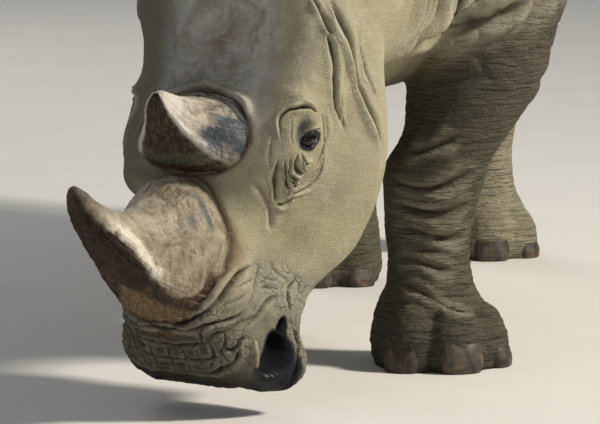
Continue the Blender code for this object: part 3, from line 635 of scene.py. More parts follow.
rightForms = {   # those that differ on the right
    "temple": ((0.212, 0.715, -0.050), (0.06, 0.080, 0.060), 0.024),
    "brow": ((0.190, 0.525, -0.055), (0.05, 0.040, 0.035), 0.004),
    "bridge": ((0.128, 0.352, -0.022), (0.06, 0.044, 0.05), 0.033),
    "bridgeTop": ((0.170, 0.410, -0.036), (0.06, 0.040, 0.05), 0.010),
}
headCreases = {
    # lines on the left in the head's own frame, width and depth, all in millimetres; how high the lip is,
    # and how much of it is on one side
    "temple": (((186, 726, -14), (203, 701, -41), (211, 678, -69), (212, 672, -80)), 4.2, 9, 0.5, -0.3),
    "behindEye": (((210, 668, -68), (211, 650, -87), (210, 614, -110), (207, 591, -119),
                   (202, 552, -138), (199, 538, -158), (196, 505, -218)), 4.8, 9, 0.55, 0.2),
    "besideEye": (((204, 572, -146), (199, 545, -170), (196, 516, -198)), 3, 4, 0.4, 0.0),
    "cheekFold": (((206, 745, -45), (213, 704, -87), (215, 675, -124), (210, 640, -152),
                   (205, 610, -188), (203, 587, -225), (201, 552, -276), (200, 510, -327)),
                  6.4, 13, 0.6, -0.5),
    "jawFold": (((211, 690, -150), (209, 652, -195), (206, 630, -221), (203, 614, -247),
                 (199, 600, -275)), 4, 3.5, 0.4, 0.0),
    "skirtEdge": (((120, 226, -122), (117, 198, -83), (112, 169, -64), (107, 135, -48), (101, 117, -40),
                   (79, 92, -31), (48, 83, -32), (0, 80, -34), (-48, 83, -32)), 6, 15, 0.5, -0.4),
    "overLip": (((-36, 71, -43), (0, 70, -42), (36, 71, -43), (70, 74, -43), (91, 82, -44),
                 (115, 97, -63), (127, 115, -90), (130, 138, -112)), 3.6, 7.5, 0.5, 0.0),
    "lipFold": (((62, 50, -70), (88, 57, -67), (101, 67, -62), (111, 74, -64), (123, 80, -76),
                 (130, 102, -94), (135, 123, -130), (131, 158, -159), (131, 178, -193),
                 (133, 188, -224)), 4.4, 6, 0.3, 0.0),
    "rimFold": (((113, 60, -82), (121, 50, -96), (131, 59, -100), (135, 72, -102), (143, 84, -122)),
                3, 7, 0.5, 0.0),
    "lipLine": (((134, 64, -100), (129, 42, -111), (117, 27, -115), (96, 16, -118), (67, 9, -129),
                 (36, 9, -132), (-30, 8, -136)), 4.4, 10, 0.5, 0.0),
    "lipPatch": (((-20, 43, -80), (39, 44, -75), (74, 54, -68)), 3.4, 6, 0.5, 0.0),
    "blockOne": (((87, 80, -43), (78, 65, -55), (76, 52, -70)), 2.8, 5, 0.5, 0.0),
    "blockTwo": (((108, 46, -90), (119, 65, -80), (118, 78, -69)), 2.8, 5, 0.5, 0.0),
    "blockThree": (((124, 208, -136), (126, 206, -165), (129, 211, -198)), 2.8, 3, 0.3, 0.0),
    "blockFour": (((126, 182, -142), (127, 191, -169), (130, 194, -200)), 2.8, 3, 0.3, 0.0),
    "blockFive": (((122, 34, -113), (112, 36, -96), (106, 50, -86)), 2.8, 5, 0.5, 0.0),
    "blockSix": (((60, 9, -130), (56, 26, -104), (58, 46, -74)), 2.8, 5, 0.5, 0.0),
    "blockSeven": (((16, 9, -134), (20, 26, -106), (14, 43, -80)), 2.8, 5, 0.5, 0.0),
    "blockEight": (((-20, 26, -104), (30, 24, -106), (75, 30, -98), (108, 40, -94)), 3, 6, 0.5, 0.0),
    "wingOne": (((104, 106, -47), (108, 121, -51), (117, 133, -65), (122, 146, -86), (123, 163, -107)),
                3.2, 3.6, 0.36, 0.0),
    "wingTwo": (((112, 150, -60), (117, 170, -84), (121, 183, -101), (122, 196, -122)),
                3.2, 3.6, 0.36, 0.0),
    "wingThree": (((122, 232, -132), (123, 195, -130), (125, 164, -125), (129, 134, -104)),
                  3.4, 3.6, 0.36, 0.0),
    "wingFour": (((124, 236, -160), (128, 222, -190), (131, 214, -224)), 3.4, 3, 0.3, 0.0),
    "behindNostril": (((146, 134, -232), (158, 108, -238), (168, 86, -246), (174, 64, -250)),
                      3.6, 7, 0.6, 0.0),
    "underNostril": (((160, 100, -262), (170, 70, -266), (166, 36, -258)), 3.4, 5, 0.5, 0.0),
    "lipSide": (((87, 69, -55), (94, 37, -87), (82, 22, -102), (72, 12, -122)), 3.4, 5, 0.5, 0.0),
    "cheekFront": (((132, 364, -28), (146, 352, -54), (139, 325, -101), (130, 285, -136)),
                   6, 4.5, 0.4, 0.0),
    "mouthCorner": (((132, 150, -238), (128, 195, -225), (128, 225, -240)), 4, 6, 0.5, 0.0),
    "mouth": (((-90, -2, -226), (0, -4, -226), (90, -2, -226), (145, 20, -232), (168, 60, -234),
               (158, 105, -235), (134, 160, -236)), 4.5, 14, 0.25, 0.0),
    "overHorn": (((-110, 496, -16), (-50, 528, 0), (10, 532, 0), (70, 516, 0), (118, 470, -20)),
                 5.5, 12, 0.7, 0.3),
    "overHornTwo": (((-105, 526, -16), (-75, 541, -4), (-40, 547, 0), (-5, 535, 0), (25, 522, 0)),
                    4, 8, 0.3, 0.0),
    "overHornThree": (((-60, 553, -4), (-30, 557, 0), (0, 548, 0)), 3.4, 6, 0.3, 0.0),
}
eyeFolds = {
    # lines round the left eye: millimetres along the head and up from its middle; width and depth in
    # millimetres; lip, lean
    "arch": (((-32, 60), (-1, 70), (19.3, 73.9), (34.6, 70.4), (46.2, 61.1), (58.7, 36.6), (59.3, 23.5),
              (56.7, 10), (60, -8)), 2.1, 3.8, 0.9, 0.7),
    "archTop": (((40, 66.5), (53, 50.1), (59.3, 36.8), (59.7, 18)), 3.6, 8, 0.5, 0.3),
    "archIn": (((33, 60), (14.6, 53.3), (-7.4, 48.9), (-21.9, 37.1)), 2, 1.6, 0.5, 0.3),
    "lidFold": (((8.1, 12), (18, 6), (25.4, -4.4), (28.6, -16.6), (26.5, -23.8)), 1.6, 2.6, 0.9, 0.0),
    "bagOne": (((-25.2, 15.3), (-33.8, 4.1), (-39.2, -6.8), (-39.6, -15.8), (-34.8, -23.4),
                (-26.1, -30)), 2.2, 5.2, 0.8, 0.5),
    "bagTwo": (((-27, 22), (-40.5, 21.2), (-50.5, 12.6), (-56.8, 0.4), (-58.2, -13.4), (-54.7, -25.2)),
               3.8, 9.5, 0.6, 0.3),
    "bagTwoB": (((-28.3, 13.4), (-40.8, 4.8), (-49, -6), (-53.4, -20)), 1.6, 3.6, 0.9, 0.0),
    "bagThree": (((-40.7, 35.2), (-60.8, 25), (-70.3, 7.8), (-72.7, -9.6), (-65.3, -24.7)),
                 2.8, 7.5, 0.8, 0.5),
    "bagFour": (((-50, 59), (-76.3, 42.2), (-91.1, 31.4), (-112.3, 18.4), (-119, 6)),
                5.6, 10.5, 0.4, 0.2),
    "bagFive": (((-47, 43.8), (-61.5, 34), (-74.8, 19.3), (-88.4, 4.5), (-95.2, -9.4)), 2.8, 6, 0.8, 0.4),
    "bagSix": (((-77, 8), (-80, -4), (-84.5, -14), (-83, -23)), 2.2, 4.4, 0.8, 0.0),
    "bagSeven": (((-95, -6), (-102, -8), (-109, -4)), 2.6, 4.4, 0.6, 0.0),
    "outer": (((26, -38), (10.7, -44.8), (-10.5, -51.6), (-30.8, -49.4), (-52, -38)), 2.6, 3, 0.6, 0.2),
    "outerTwo": (((16, -56), (-9.7, -60.8), (-28.1, -65.1), (-50.6, -67.4), (-66.2, -62.9),
                  (-81.4, -50.5), (-95.7, -28.9), (-104.6, -9.3)), 3, 4.8, 0.6, 0.2),
    "under": (((-100, -28), (-115, -22), (-126, -11), (-128, 6)), 3.6, 6, 0.5, 0.4),
    "sideOne": (((63.7, -11.7), (40.1, -28.9), (17.2, -38.5), (2.6, -41)), 3, 2.4, 0.6, 0.0),
    "sideTwo": (((71.7, -21), (47.8, -37.2), (24.9, -50.4), (-7.2, -57)), 3.4, 2.6, 0.6, 0.0),
    "front": (((-12, 79), (-37.7, 76.1), (-56, 69), (-76, 60)), 3, 2.2, 0.5, 0.0),
}
eyeForms = {   # centre along and up, reach both ways, height, darkness of the painted shade
    "upperLid": ((0.038, 0.010), (0.018, 0.024), 0.0070, 0.0),
    "hollow": ((0.017, 0.026), (0.021, 0.0155), -0.0110, 1.35),
    "hollowLow": ((-0.002, 0.025), (0.015, 0.012), -0.0040, 1.0),
    "outerLid": ((0.008, -0.034), (0.018, 0.010), 0.0035, 0.0),
    "bags": ((-0.045, 0.002), (0.028, 0.032), 0.0040, 0.0),
    "lowBags": ((-0.092, -0.004), (0.022, 0.024), 0.0045, 0.0),
    "brow": ((0.074, 0.034), (0.014, 0.040), 0.0050, 0.0),
}
hornFeet = {   # sideways and along: centre and half size of the ring that the skin makes round each horn
    "front": ((0.0, 0.214), (0.106, 0.142)), "rear": ((0.0, 0.436), (0.121, 0.078)),
}
nostril = {   # along and up in the head's own frame, the last three with the way out before them
    "middle": (0.066, -0.182), "size": (0.048, 0.031), "turn": 0.46,
    "tail": (0.108, -0.196), "tailSize": (0.038, 0.013), "depth": 0.075,
    "damp": (0.036, -0.208), "dampSize": (0.052, 0.050),
    "rim": ((0.146, 0.086, -0.127), (0.150, 0.066, -0.133), (0.150, 0.045, -0.142), (0.149, 0.028, -0.153)),
    "lobe": (0.137, 0.140, -0.168), "wing": (0.166, 0.096, -0.246),
}


def eyeFrame(side):
    # middle of the eyeball, and its ways along the head, up and out
    x, y, z = eyeSizes["place"]
    centre = toBody([(side * x, y, z)])[0]
    out = unit(headTurn @ np.array([side * 0.93, -0.10, 0.30]))
    along = unit(headTurn[:, 1] - out * (headTurn[:, 1] @ out))
    up = np.cross(out, along) * side
    return centre, along, up, out


def foldRoundEye(work, points, side, eyeSide):
    centre, along, up, _ = eyeFrame(side)
    flat = np.stack([(points - centre) @ along, (points - centre) @ up], 1)
    for (u, v), reach, height, hollowShade in eyeForms.values():
        spot = eyeSide * np.exp(-farness(flat, (u, v), reach))
        work["lift"] += height * spot
        # painted shade in the hollows round the eye
        work["hollowShade"] = np.maximum(work["hollowShade"], np.minimum(hollowShade * spot, 1))
    flat += 0.0012 * drift(points, 80, (7 + side, 17 + side))
    for line, width, depth, lip, lean in eyeFolds.values():
        furrow(work, flat, line, width, depth, lip, lean, eyeSide)


lids = {"length": 0.0208, "upper": 0.0120, "lower": 0.0112, "turn": -55.0,     # of the almond between them
        "thick": 0.0042, "rim": 0.0018, "behind": 0.0045, "soft": 0.0035}


def openLids(points, side):
    # outside the almond |s| < h (1 - (p / l)^2) the skin rises to a dome over the eyeball, by
    # soft * log(1 + exp((dome - skin) / soft)), and inside it sinks behind the eyeball
    centre, along, up, out = eyeFrame(side)
    q = points - centre
    close = np.flatnonzero((np.linalg.norm(q, axis=1) < 0.06) & (q @ out > -0.02))
    u, v, o = q[close] @ along, q[close] @ up, q[close] @ out
    tilt = math.radians(lids["turn"])
    p, s = u * math.cos(tilt) + v * math.sin(tilt), v * math.cos(tilt) - u * math.sin(tilt)
    radius = eyeSizes["radius"]
    flat = u * u + v * v
    dome = np.sqrt(np.maximum((radius + lids["thick"]) ** 2 - flat, 0))
    soft = lids["soft"]
    covered = o + soft * np.log1p(np.exp((dome - o) / soft)) * (flat < (radius + lids["thick"]) ** 2)
    tallest = np.where(s > 0, lids["upper"], lids["lower"])
    height = tallest * np.maximum(1 - (p / lids["length"]) ** 2, 0.02)
    m = np.where(np.abs(p) > lids["length"], 3, np.abs(s) / height)
    covered += lids["rim"] * np.exp(-((m - 1.2) / 0.25) ** 2) * (1 + 0.5 * np.sign(s))
    sunk = np.sqrt(np.maximum(radius**2 - flat, 0)) - lids["behind"]
    final = np.where(m < 1, sunk, covered)
    points = points.copy()
    points[close] += (final - o)[:, None] * out
    edge = np.hypot(p / (lids["length"] + 0.003), s / (tallest + 0.003))
    wet = np.zeros(len(points))
    wet[close] = ramp(1.50 - edge, 0, 0.30) * ramp(p, -0.020, 0.010) + ramp(1.22 - edge, 0, 0.20)
    return points, np.minimum(wet, 1)


def sinkNostril(points, work, side):
    # depth * (1 - q^2)^0.45 inward, where q is the distance in a comma of two ellipses
    head = toHead(points)
    c, s = math.cos(nostril["turn"]), math.sin(nostril["turn"])

    def oval(centre, size):
        y, z = head[:, 1] - centre[0], head[:, 2] - centre[1]
        return np.hypot((y * c - z * s) / size[0], (y * s + z * c) / size[1])

    wobble = 0.06 * softNoise(head * 60, 19)
    whole = oval(nostril["middle"], nostril["size"]) + wobble
    q = np.minimum(whole, oval(nostril["tail"], nostril["tailSize"]) + wobble)
    onSide = ramp(head[:, 0] * side, 0.09, 0.11)
    q = np.where(onSide > 0, q, 9)
    inside = np.maximum(1 - q**2, 0) ** 0.45
    move = headTurn @ np.array([-side * 0.92, 0.25, 0.05])
    points = points + (nostril["depth"] * inside)[:, None] * move
    work["wet"] = np.maximum(work["wet"], onSide * ramp(1.34 - q, 0, 0.40))
    damp = oval(nostril["damp"], nostril["dampSize"]) + 0.15 * softNoise(head * 45, 23)
    work["wet"] = np.maximum(work["wet"], 0.70 * onSide * ramp(1.15 - damp, 0, 0.35))
    work["lift"] += 0.003 * onSide * np.exp(-((q - 1.22) / 0.14) ** 2)
    index, gap, share, _ = nearLine(head * (side, 1, 1), nostril["rim"], 0.02, 0.002)
    rim = ramp(share, 0, 0.2) * ramp(1 - share, 0, 0.2) * np.exp(-(gap / 0.0042) ** 2)
    work["lift"][index] += 0.0045 * rim
    # the pale rim: partly paler skin, partly a painted highlight
    work["pale"][index] = np.maximum(work["pale"][index], 0.62 * rim)
    return points


def sculptHead(points, faces, work):
    head = toHead(points)
    for name, (centre, radii, height) in headForms.items():
        swell(work, head, centre, radii, height)
        right = rightForms.get(name, (centre, radii, height))
        swell(work, head, np.array(right[0]) * (-1, 1, 1), *right[1:])
    points = settle(points, faces, work)
    for (cx, cy), (rx, ry) in hornFeet.values():
        head = toHead(points)
        ring = np.sqrt(((head[:, 0] - cx) / rx) ** 2 + ((head[:, 1] - cy) / ry) ** 2)
        top = ramp(head[:, 2], -0.13, -0.07)
        gap = (ring - 1.02) * 0.11 + 0.002 * roughNoise(head * 60, 2, 5)
        cleft = np.exp(-(gap / 0.003) ** 2)
        work["lift"] += top * (0.003 * np.exp(-((gap - 0.008) / 0.010) ** 2) - 0.003 * cleft)
        # painted shade in the cleft round the horn's foot
        work["dark"] = np.maximum(work["dark"], 0.8 * top * cleft)
        work["rust"] = np.maximum(work["rust"], top * np.exp(-((gap - 0.003) / 0.007) ** 2))
    points = settle(points, faces, work)
    outward = normalsOf(points, faces) @ headTurn
    for side in (1, -1):
        head = toHead(points) * (side, 1, 1)
        onSide = ramp(head[:, 0], -0.01, 0.005)
        sway = 0.0012 * drift(head, 30, (40 + side, 50 + side, 60 + side))
        for line, width, depth, lip, lean in headCreases.values():
            furrow(work, head + sway, line, width, depth, lip, lean, onSide, 0.16, outward * (side, 1, 1))
        swell(work, head, nostril["lobe"], (0.03, 0.022, 0.020), 0.007)
        swell(work, head, nostril["wing"], (0.03, 0.040, 0.022), 0.005)
        foldRoundEye(work, points, side, ramp(head[:, 0], 0.08, 0.10))
    points = settle(points, faces, work)
    for side in (1, -1):
        points, wet = openLids(points, side)
        work["wet"] = np.maximum(work["wet"], wet)
        points = sinkNostril(points, work, side)
    return settle(points, faces, work)


def plateHead(points, faces, work):
    # where the finish is to draw plates; over the head lift = height * rough noise, and clefts on the muzzle
    head = toHead(points)
    muzzle = ramp(0.150 - head[:, 1], 0, 0.05) * ramp(0.05 - head[:, 2], 0, 0.03)
    muzzle = np.maximum(muzzle, ramp(0.27 - head[:, 1], 0, 0.06) * ramp(-head[:, 2], 0.09, 0.14))
    muzzle *= head[:, 1] > -0.10
    lobe = np.exp(-farness(np.abs(head), np.abs(nostril["lobe"]), (0.04, 0.018, 0.016)))
    quiet = (1 - np.clip(1.4 * work["wet"], 0, 1)) * (1 - lobe) * (1 - 0.8 * work["pale"])
    work["plate"] = muzzle * quiet
    close = np.flatnonzero((head[:, 1] < 0.95) & (head[:, 1] > -0.10) & (np.abs(head[:, 0]) < 0.30))
    h = head[close]
    warped = h + 0.006 * drift(h, 30, (1, 2, 3))
    coarse = np.exp(-(cracks(warped / np.array([0.034, 0.022, 0.022]), 11) / 0.16) ** 2)
    work["lift"][close] += quiet[close] * (0.0009 + 0.0014 * muzzle[close]) * roughNoise(h * 24, 3, 31)
    work["lift"][close] -= 0.0014 * muzzle[close] * quiet[close] * coarse
    # painted shade in the cracks between the muzzle's plates
    work["dark"][close] = np.maximum(work["dark"][close], 0.25 * muzzle[close] * quiet[close] * coarse)
    return settle(points, faces, work)


bodyFolds = {
    # lines on the left in the body's frame, width and depth, all in millimetres; lip. The right mirrors them
    "neckOne": (((215, -700, 900), (250, -690, 760), (235, -720, 640), (150, -750, 570)), 14, 38, 0.6),
    "neckTwo": (((180, -860, 1000), (235, -800, 820), (215, -800, 690), (140, -830, 600)), 14, 36, 0.6),
    "neckThree": (((300, -540, 1000), (300, -560, 850), (262, -605, 740), (190, -655, 650)), 12, 18, 0.5),
    "drape": (((425, -520, 770), (330, -600, 705), (253, -670, 656), (160, -730, 604)), 16, 26, 0.7),
    "shoulderFront": (((330, -480, 1150), (370, -470, 950), (370, -480, 780), (330, -520, 640)),
                      20, 16, 0.4),
    "shoulderBack": (((420, -130, 1200), (450, -110, 1000), (440, -120, 800), (370, -150, 640)),
                     22, 20, 0.4),
    "elbow": (((400, -100, 720), (390, -200, 640), (370, -330, 600), (340, -480, 600)), 14, 16, 0.4),
    "flank": (((430, 640, 1150), (440, 700, 950), (420, 720, 760), (340, 760, 640)), 20, 22, 0.5),
    "flankLow": (((450, 520, 780), (420, 640, 700), (330, 740, 620)), 16, 14, 0.4),
    "thigh": (((300, 1330, 1050), (330, 1300, 850), (320, 1230, 680)), 18, 12, 0.3),
    "hock": (((270, 1060, 560), (280, 1140, 530), (250, 1230, 520)), 12, 10, 0.4),
    "underTail": (((60, 1350, 1000), (75, 1385, 860), (60, 1350, 740)), 14, 12, 0.3),
}
legFolds = {
    # lines on the left foreleg, width and depth, all in millimetres; lip
    "wristOne": (((130, -560, 392), (175, -600, 372), (230, -612, 366), (290, -600, 378),
                  (340, -550, 396)), 8, 10, 0.6),
    "wristTwo": (((125, -540, 330), (170, -595, 324), (225, -610, 314), (290, -595, 318),
                  (335, -540, 330)), 9, 12, 0.6),
    "wristThree": (((130, -540, 272), (180, -600, 276), (240, -610, 266), (305, -580, 262),
                    (345, -520, 270)), 8, 10, 0.6),
    "ankleOne": (((130, -560, 214), (190, -620, 222), (260, -625, 214), (330, -580, 210)), 8, 9, 0.6),
    "ankleTwo": (((140, -600, 172), (200, -650, 176), (280, -640, 168), (350, -580, 172)), 7, 8, 0.6),
    "shin": (((150, -580, 455), (200, -610, 446), (250, -615, 452), (300, -600, 468)), 8, 7, 0.6),
}
bodyForms = {   # centre and reach in the body's frame, and height
    "shoulderBlade": ((0.380, -0.330, 1.150), (0.10, 0.15, 0.26), 0.020),
    "hip": ((0.330, 0.860, 1.300), (0.14, 0.12, 0.12), 0.020),
    "behindHip": ((0.400, 0.560, 1.240), (0.14, 0.16, 0.12), -0.016),
    "thighMuscle": ((0.380, 0.980, 0.900), (0.12, 0.16, 0.22), 0.016),
    "upperArm": ((0.390, -0.420, 0.760), (0.10, 0.12, 0.12), 0.012),
    "nape": ((0.000, -0.560, 1.560), (0.20, 0.16, 0.16), 0.010),
    "belly": ((0.200, 0.200, 0.560), (0.30, 0.40, 0.12), 0.010),
}
rightArm = ((-0.430, -0.360, 0.700), (0.12, 0.18, 0.20), -0.036)       # drawn in, on the right only


def sculptBody(points, faces, work):
    for centre, radii, height in bodyForms.values():
        for side in (1, -1):    # a form in the middle is laid twice, at half its height
            swell(work, points, np.array(centre) * (side, 1, 1), radii, height * (1 if centre[0] else 0.5))
    swell(work, points, *rightArm)
    points = settle(points, faces, work)
    outward = normalsOf(points, faces)
    for side in (1, -1):
        there = points * (side, 1, 1)
        sway = 0.012 * drift(there, 7, (70 + side, 80 + side, 90 + side))
        onSide = ramp(there[:, 0], 0.0, 0.04)
        folds = {**bodyFolds, **(legFolds if side > 0 else {})}
        for line, width, depth, lip in folds.values():
            furrow(work, there + sway, line, width, depth, lip, 0.0, onSide, 0.3, outward * (side, 1, 1))
    points = settle(points, faces, work)
    body = ramp(np.linalg.norm(toHead(points) - headMiddle, axis=1), 0.50, 0.70)
    leg = body * ramp(0.62 - points[:, 2], 0, 0.12)
    warped = points + 0.012 * drift(points, 14, (1, 2, 3))
    broad = np.exp(-(cracks(warped / np.array([0.060, 0.055, 0.045]), 51) / 0.16) ** 2)
    flat = np.exp(-(cracks(warped / np.array([0.060, 0.060, 0.020]), 61) / 0.20) ** 2)
    work["lift"] += body * (1 - leg) * (0.0015 - 0.0040 * broad)
    work["lift"] += body * 0.004 * roughNoise(points * 9, 3, 33)
    work["lift"] += leg * (0.0008 - 0.0020 * flat)
    # painted shade in the leg's cracks
    work["dark"] = np.maximum(work["dark"], leg * 0.16 * flat)
    return settle(points, faces, work)


def legZone(points, away):
    # near a leg's axis and below the elbow, which on the forelegs is higher the farther out it is
    near = np.zeros(len(points))
    for name, foot in feet.items():
        axis = np.array(foot) + np.outer(points[:, 2] / 0.9, np.array(legRoots[name]) - foot) + frameShift[:2]
        near = np.maximum(near, ramp(0.30 - np.linalg.norm(points[:, :2] - axis, axis=1), 0, 0.07))
    near = np.where(away < 0.50, 0, near)
    elbow = np.where(points[:, 1] < 0, 0.60 + 0.55 * (np.abs(points[:, 0]) - 0.19), 0.72)
    return near * ramp(elbow + 0.05 - points[:, 2], 0, 0.12)


tones = {   # centre and reach, in the head's own frame but for the spot on the left hind foot, which is across and along the floor; there the legs' painted shade is lifted, as painted light
    "dustAndLight": (footCentre("hindleg_left")[:2], (0.26, 0.40)),
    "rub": ((0.02, 0.600), (0.055, 0.060)),
    "aboveEye": ((0.202, 0.632, -0.055), (0.05, 0.062, 0.020)),
    "cheekFront": ((0.185, 0.320, -0.130), (0.06, 0.030, 0.030)),
    "behindRearHorn": ((-0.03, 0.528), (0.09, 0.024)),
    "betweenHorns": (0.352, 0.020),
}


def tint(points, work):
    # where the hide is darker, greyer or rubbed: ramps, and spots that fall off with exp(-farness). The legs,
    # the muzzle and its underside, the far side of the head, the rings round the horns and the front of the
    # cheek get painted shade; the body away from the head is a little darker too
    head = toHead(points)
    x, y, z = head.T
    away = np.linalg.norm(head - headMiddle, axis=1)
    body = ramp(away, 0.50, 0.75)
    legs = legZone(points, away)
    work["leg"] = legs
    # painted light on the left hind foot: there the legs' painted shade is less
    litFoot = np.exp(-farness(points[:, :2], *tones["dustAndLight"]))
    muzzle = ramp(0.15 - y, 0, 0.06) * ramp(0.145 - x, 0, 0.08)
    muzzle = 0.50 * ramp(0.19 - y, 0, 0.06) * ramp(-z, 0.03, 0.06) + 0.50 * muzzle
    underside = 0.95 * ramp(0.050 - y, 0, 0.045)
    farSide = 0.62 * ramp(-x, 0.06, 0.15)
    onHead = (1 - body) * np.clip(np.maximum(muzzle, underside) + farSide, 0, 1)
    # painted shade: dark legs, less dark on the left hind foot, and on the head the muzzle, its underside and
    # the far side; the body away from the head a little darker
    work["paintedShade"] = np.clip(legs * (0.92 - 0.75 * litFoot) + 0.20 * body * (1 - legs) + onHead, 0, 1)
    onTop, onFace = (z > -0.08) * (away < 0.6), (z < 0) * (away < 0.6)
    middle, half = tones["betweenHorns"]
    # painted shade in the rings behind the rear horn and between the horns
    rings = 0.50 * np.exp(-farness(head[:, :2], *tones["behindRearHorn"]))
    rings += 0.60 * np.exp(-((y - middle) / half) ** 2) * ramp(0.10 - x, 0, 0.06)
    work["paintedShade"] = np.maximum(work["paintedShade"], rings * onTop)
    work["frost"] = (1 - body) * ramp(0.16 - np.abs(x), 0, 0.06) * ramp(z, -0.06, -0.02) * ramp(y, 0.40, 0.50)
    work["rub"] = np.exp(-farness(head[:, :2], *tones["rub"]) ** 1.5) * onTop
    sides = np.abs(head) * (1, 1, -1)
    # painted shade in the hollow above each eye
    hollow = 0.50 * np.exp(-farness(sides, *tones["aboveEye"]) ** 1.5) * onFace
    work["hollowShade"] = np.maximum(work["hollowShade"], hollow)
    # painted shade at the front of the cheek
    cheek = 0.35 * np.exp(-farness(sides, *tones["cheekFront"])) * onFace
    work["paintedShade"] = np.maximum(work["paintedShade"], cheek)


def floored(points):
    # soles and whatever sank below them are put back on the floor
    points = points.copy()
    points[:, 2] = np.where(points[:, 2] < 0.004, 0.0, points[:, 2])
    return points


marks = ("dark", "high", "rust", "wet", "hollowShade", "pale", "rub", "paintedShade", "frost", "leg", "seam", "seamMark",
         "plate")
work = {name: np.zeros(len(points)) for name in ("lift", *marks)}
work["seam"] += 6       # far from any line
points = sculptBody(points, faces, work)
points = sculptHead(points, faces, work)
points = plateHead(points, faces, work)
points = floored(points)
tint(points, work)
faceSide = toHead(points) - np.array([0.10, 0.34, -0.13])
work["far"] = ramp(np.linalg.norm(faceSide / (0.26, 0.48, 0.30), axis=1), 0.9, 1.5)
print("folds and creases worked in")


class Finish:
    # a node tree written as calls: each method adds a node and gives its output
    def __init__(self, name, roughness, **settings):
        self.material = bpy.data.materials.new(name)
        self.material.use_nodes = True
        self.tree = self.material.node_tree
        self.shader = self.tree.nodes["Principled BSDF"]
        self.shader.inputs["Roughness"].default_value = roughness
        for socket, value in settings.items():
            self.shader.inputs[socket.replace("_", " ")].default_value = value

    def node(self, kind, inputs=(), output=0, **settings):
        made = self.tree.nodes.new(kind)
        for key, value in settings.items():
            setattr(made, key, value)
        for key, value in dict(inputs).items():
            if isinstance(value, bpy.types.NodeSocket):
                self.tree.links.new(value, made.inputs[key])
            else:
                made.inputs[key].default_value = value
        return made.outputs[output]

    def place(self, scale=(1, 1, 1), turn=(0, 0, 0)):
        where = self.node("ShaderNodeTexCoord", output="Object")
        return self.node("ShaderNodeMapping", {"Vector": where, "Rotation": turn, "Scale": scale})

    def noise(self, where, scale, detail=3.0, roughness=0.55, distortion=0.0):
        return self.node("ShaderNodeTexNoise", {"Vector": where, "Scale": scale, "Detail": detail,
                                                "Roughness": roughness, "Distortion": distortion})

    def plates(self, where, scale, loose=1.0):
        return self.node("ShaderNodeTexVoronoi", {"Vector": where, "Scale": scale, "Randomness": loose},
                         feature="DISTANCE_TO_EDGE")

    def bent(self, where, scale, amount):
        # where + amount * a coloured noise, so that cells don't lie in rows
        wobble = self.node("ShaderNodeTexNoise", {"Vector": where, "Scale": scale}, "Color")
        return self.node("ShaderNodeVectorMath", {0: wobble, 1: (amount,) * 3, 2: where},
                         operation="MULTIPLY_ADD")

    def mark(self, name):
        return self.node("ShaderNodeAttribute", output="Fac", attribute_name=name)

    def fit(self, value, low, high, least=0.0, most=1.0):
        return self.node("ShaderNodeMapRange", {"Value": value, "From Min": low, "From Max": high,
                                                "To Min": least, "To Max": most})

    def math(self, what, first, second=0.0):
        return self.node("ShaderNodeMath", {0: first, 1: second}, operation=what)

    def times(self, first, second):
        return self.math("MULTIPLY", first, second)

    def mix(self, share, first, second):
        made = self.tree.nodes.new("ShaderNodeMix")
        made.data_type = "RGBA"
        sockets = {k.identifier: k for k in made.inputs}
        for key, value in (("Factor_Float", share), ("A_Color", first), ("B_Color", second)):
            if isinstance(value, bpy.types.NodeSocket):
                self.tree.links.new(value, sockets[key])
            else:
                sockets[key].default_value = value if isinstance(value, float) else (*value, 1)
        return next(k for k in made.outputs if k.identifier == "Result_Color")

    def bump(self, height, strength, distance, over=None):
        inputs = {"Height": height, "Strength": strength, "Distance": distance}
        if over is not None:
            inputs["Normal"] = over
        return self.node("ShaderNodeBump", inputs)

    def end(self, colour, roughness=None, normal=None):
        self.tree.links.new(colour, self.shader.inputs["Base Color"])
        if roughness is not None:
            self.tree.links.new(roughness, self.shader.inputs["Roughness"])
        if normal is not None:
            self.tree.links.new(normal, self.shader.inputs["Normal"])
        return self.material


# the dark olive is painted shade, laid by the shade mark
hideColours = {
    # the dust colour is dust in the mottling, and a painted highlight, partly dust, on the lips of the folds
    "khaki": (0.352, 0.318, 0.200), "dustAndLight": (0.475, 0.445, 0.325), "grey": (0.270, 0.245, 0.185),
    # the crease colour is painted shade in creases and cracks
    "shadeOlive": (0.045, 0.040, 0.027), "creaseShade": (0.036, 0.028, 0.018), "rust": (0.185, 0.100, 0.048),
    "rub": (0.180, 0.135, 0.100), "scratch": (0.520, 0.470, 0.420), "frost": (0.430, 0.425, 0.405),
    # the dim blue-grey is painted shade in hollows
    "umber": (0.150, 0.122, 0.078), "hollowShade": (0.040, 0.042, 0.046), "ash": (0.240, 0.228, 0.185),
    # the rim colour on the nostril's rim is partly paler skin, partly a painted highlight
    "wet": (0.011, 0.011, 0.014), "rim": (0.560, 0.460, 0.310),
}


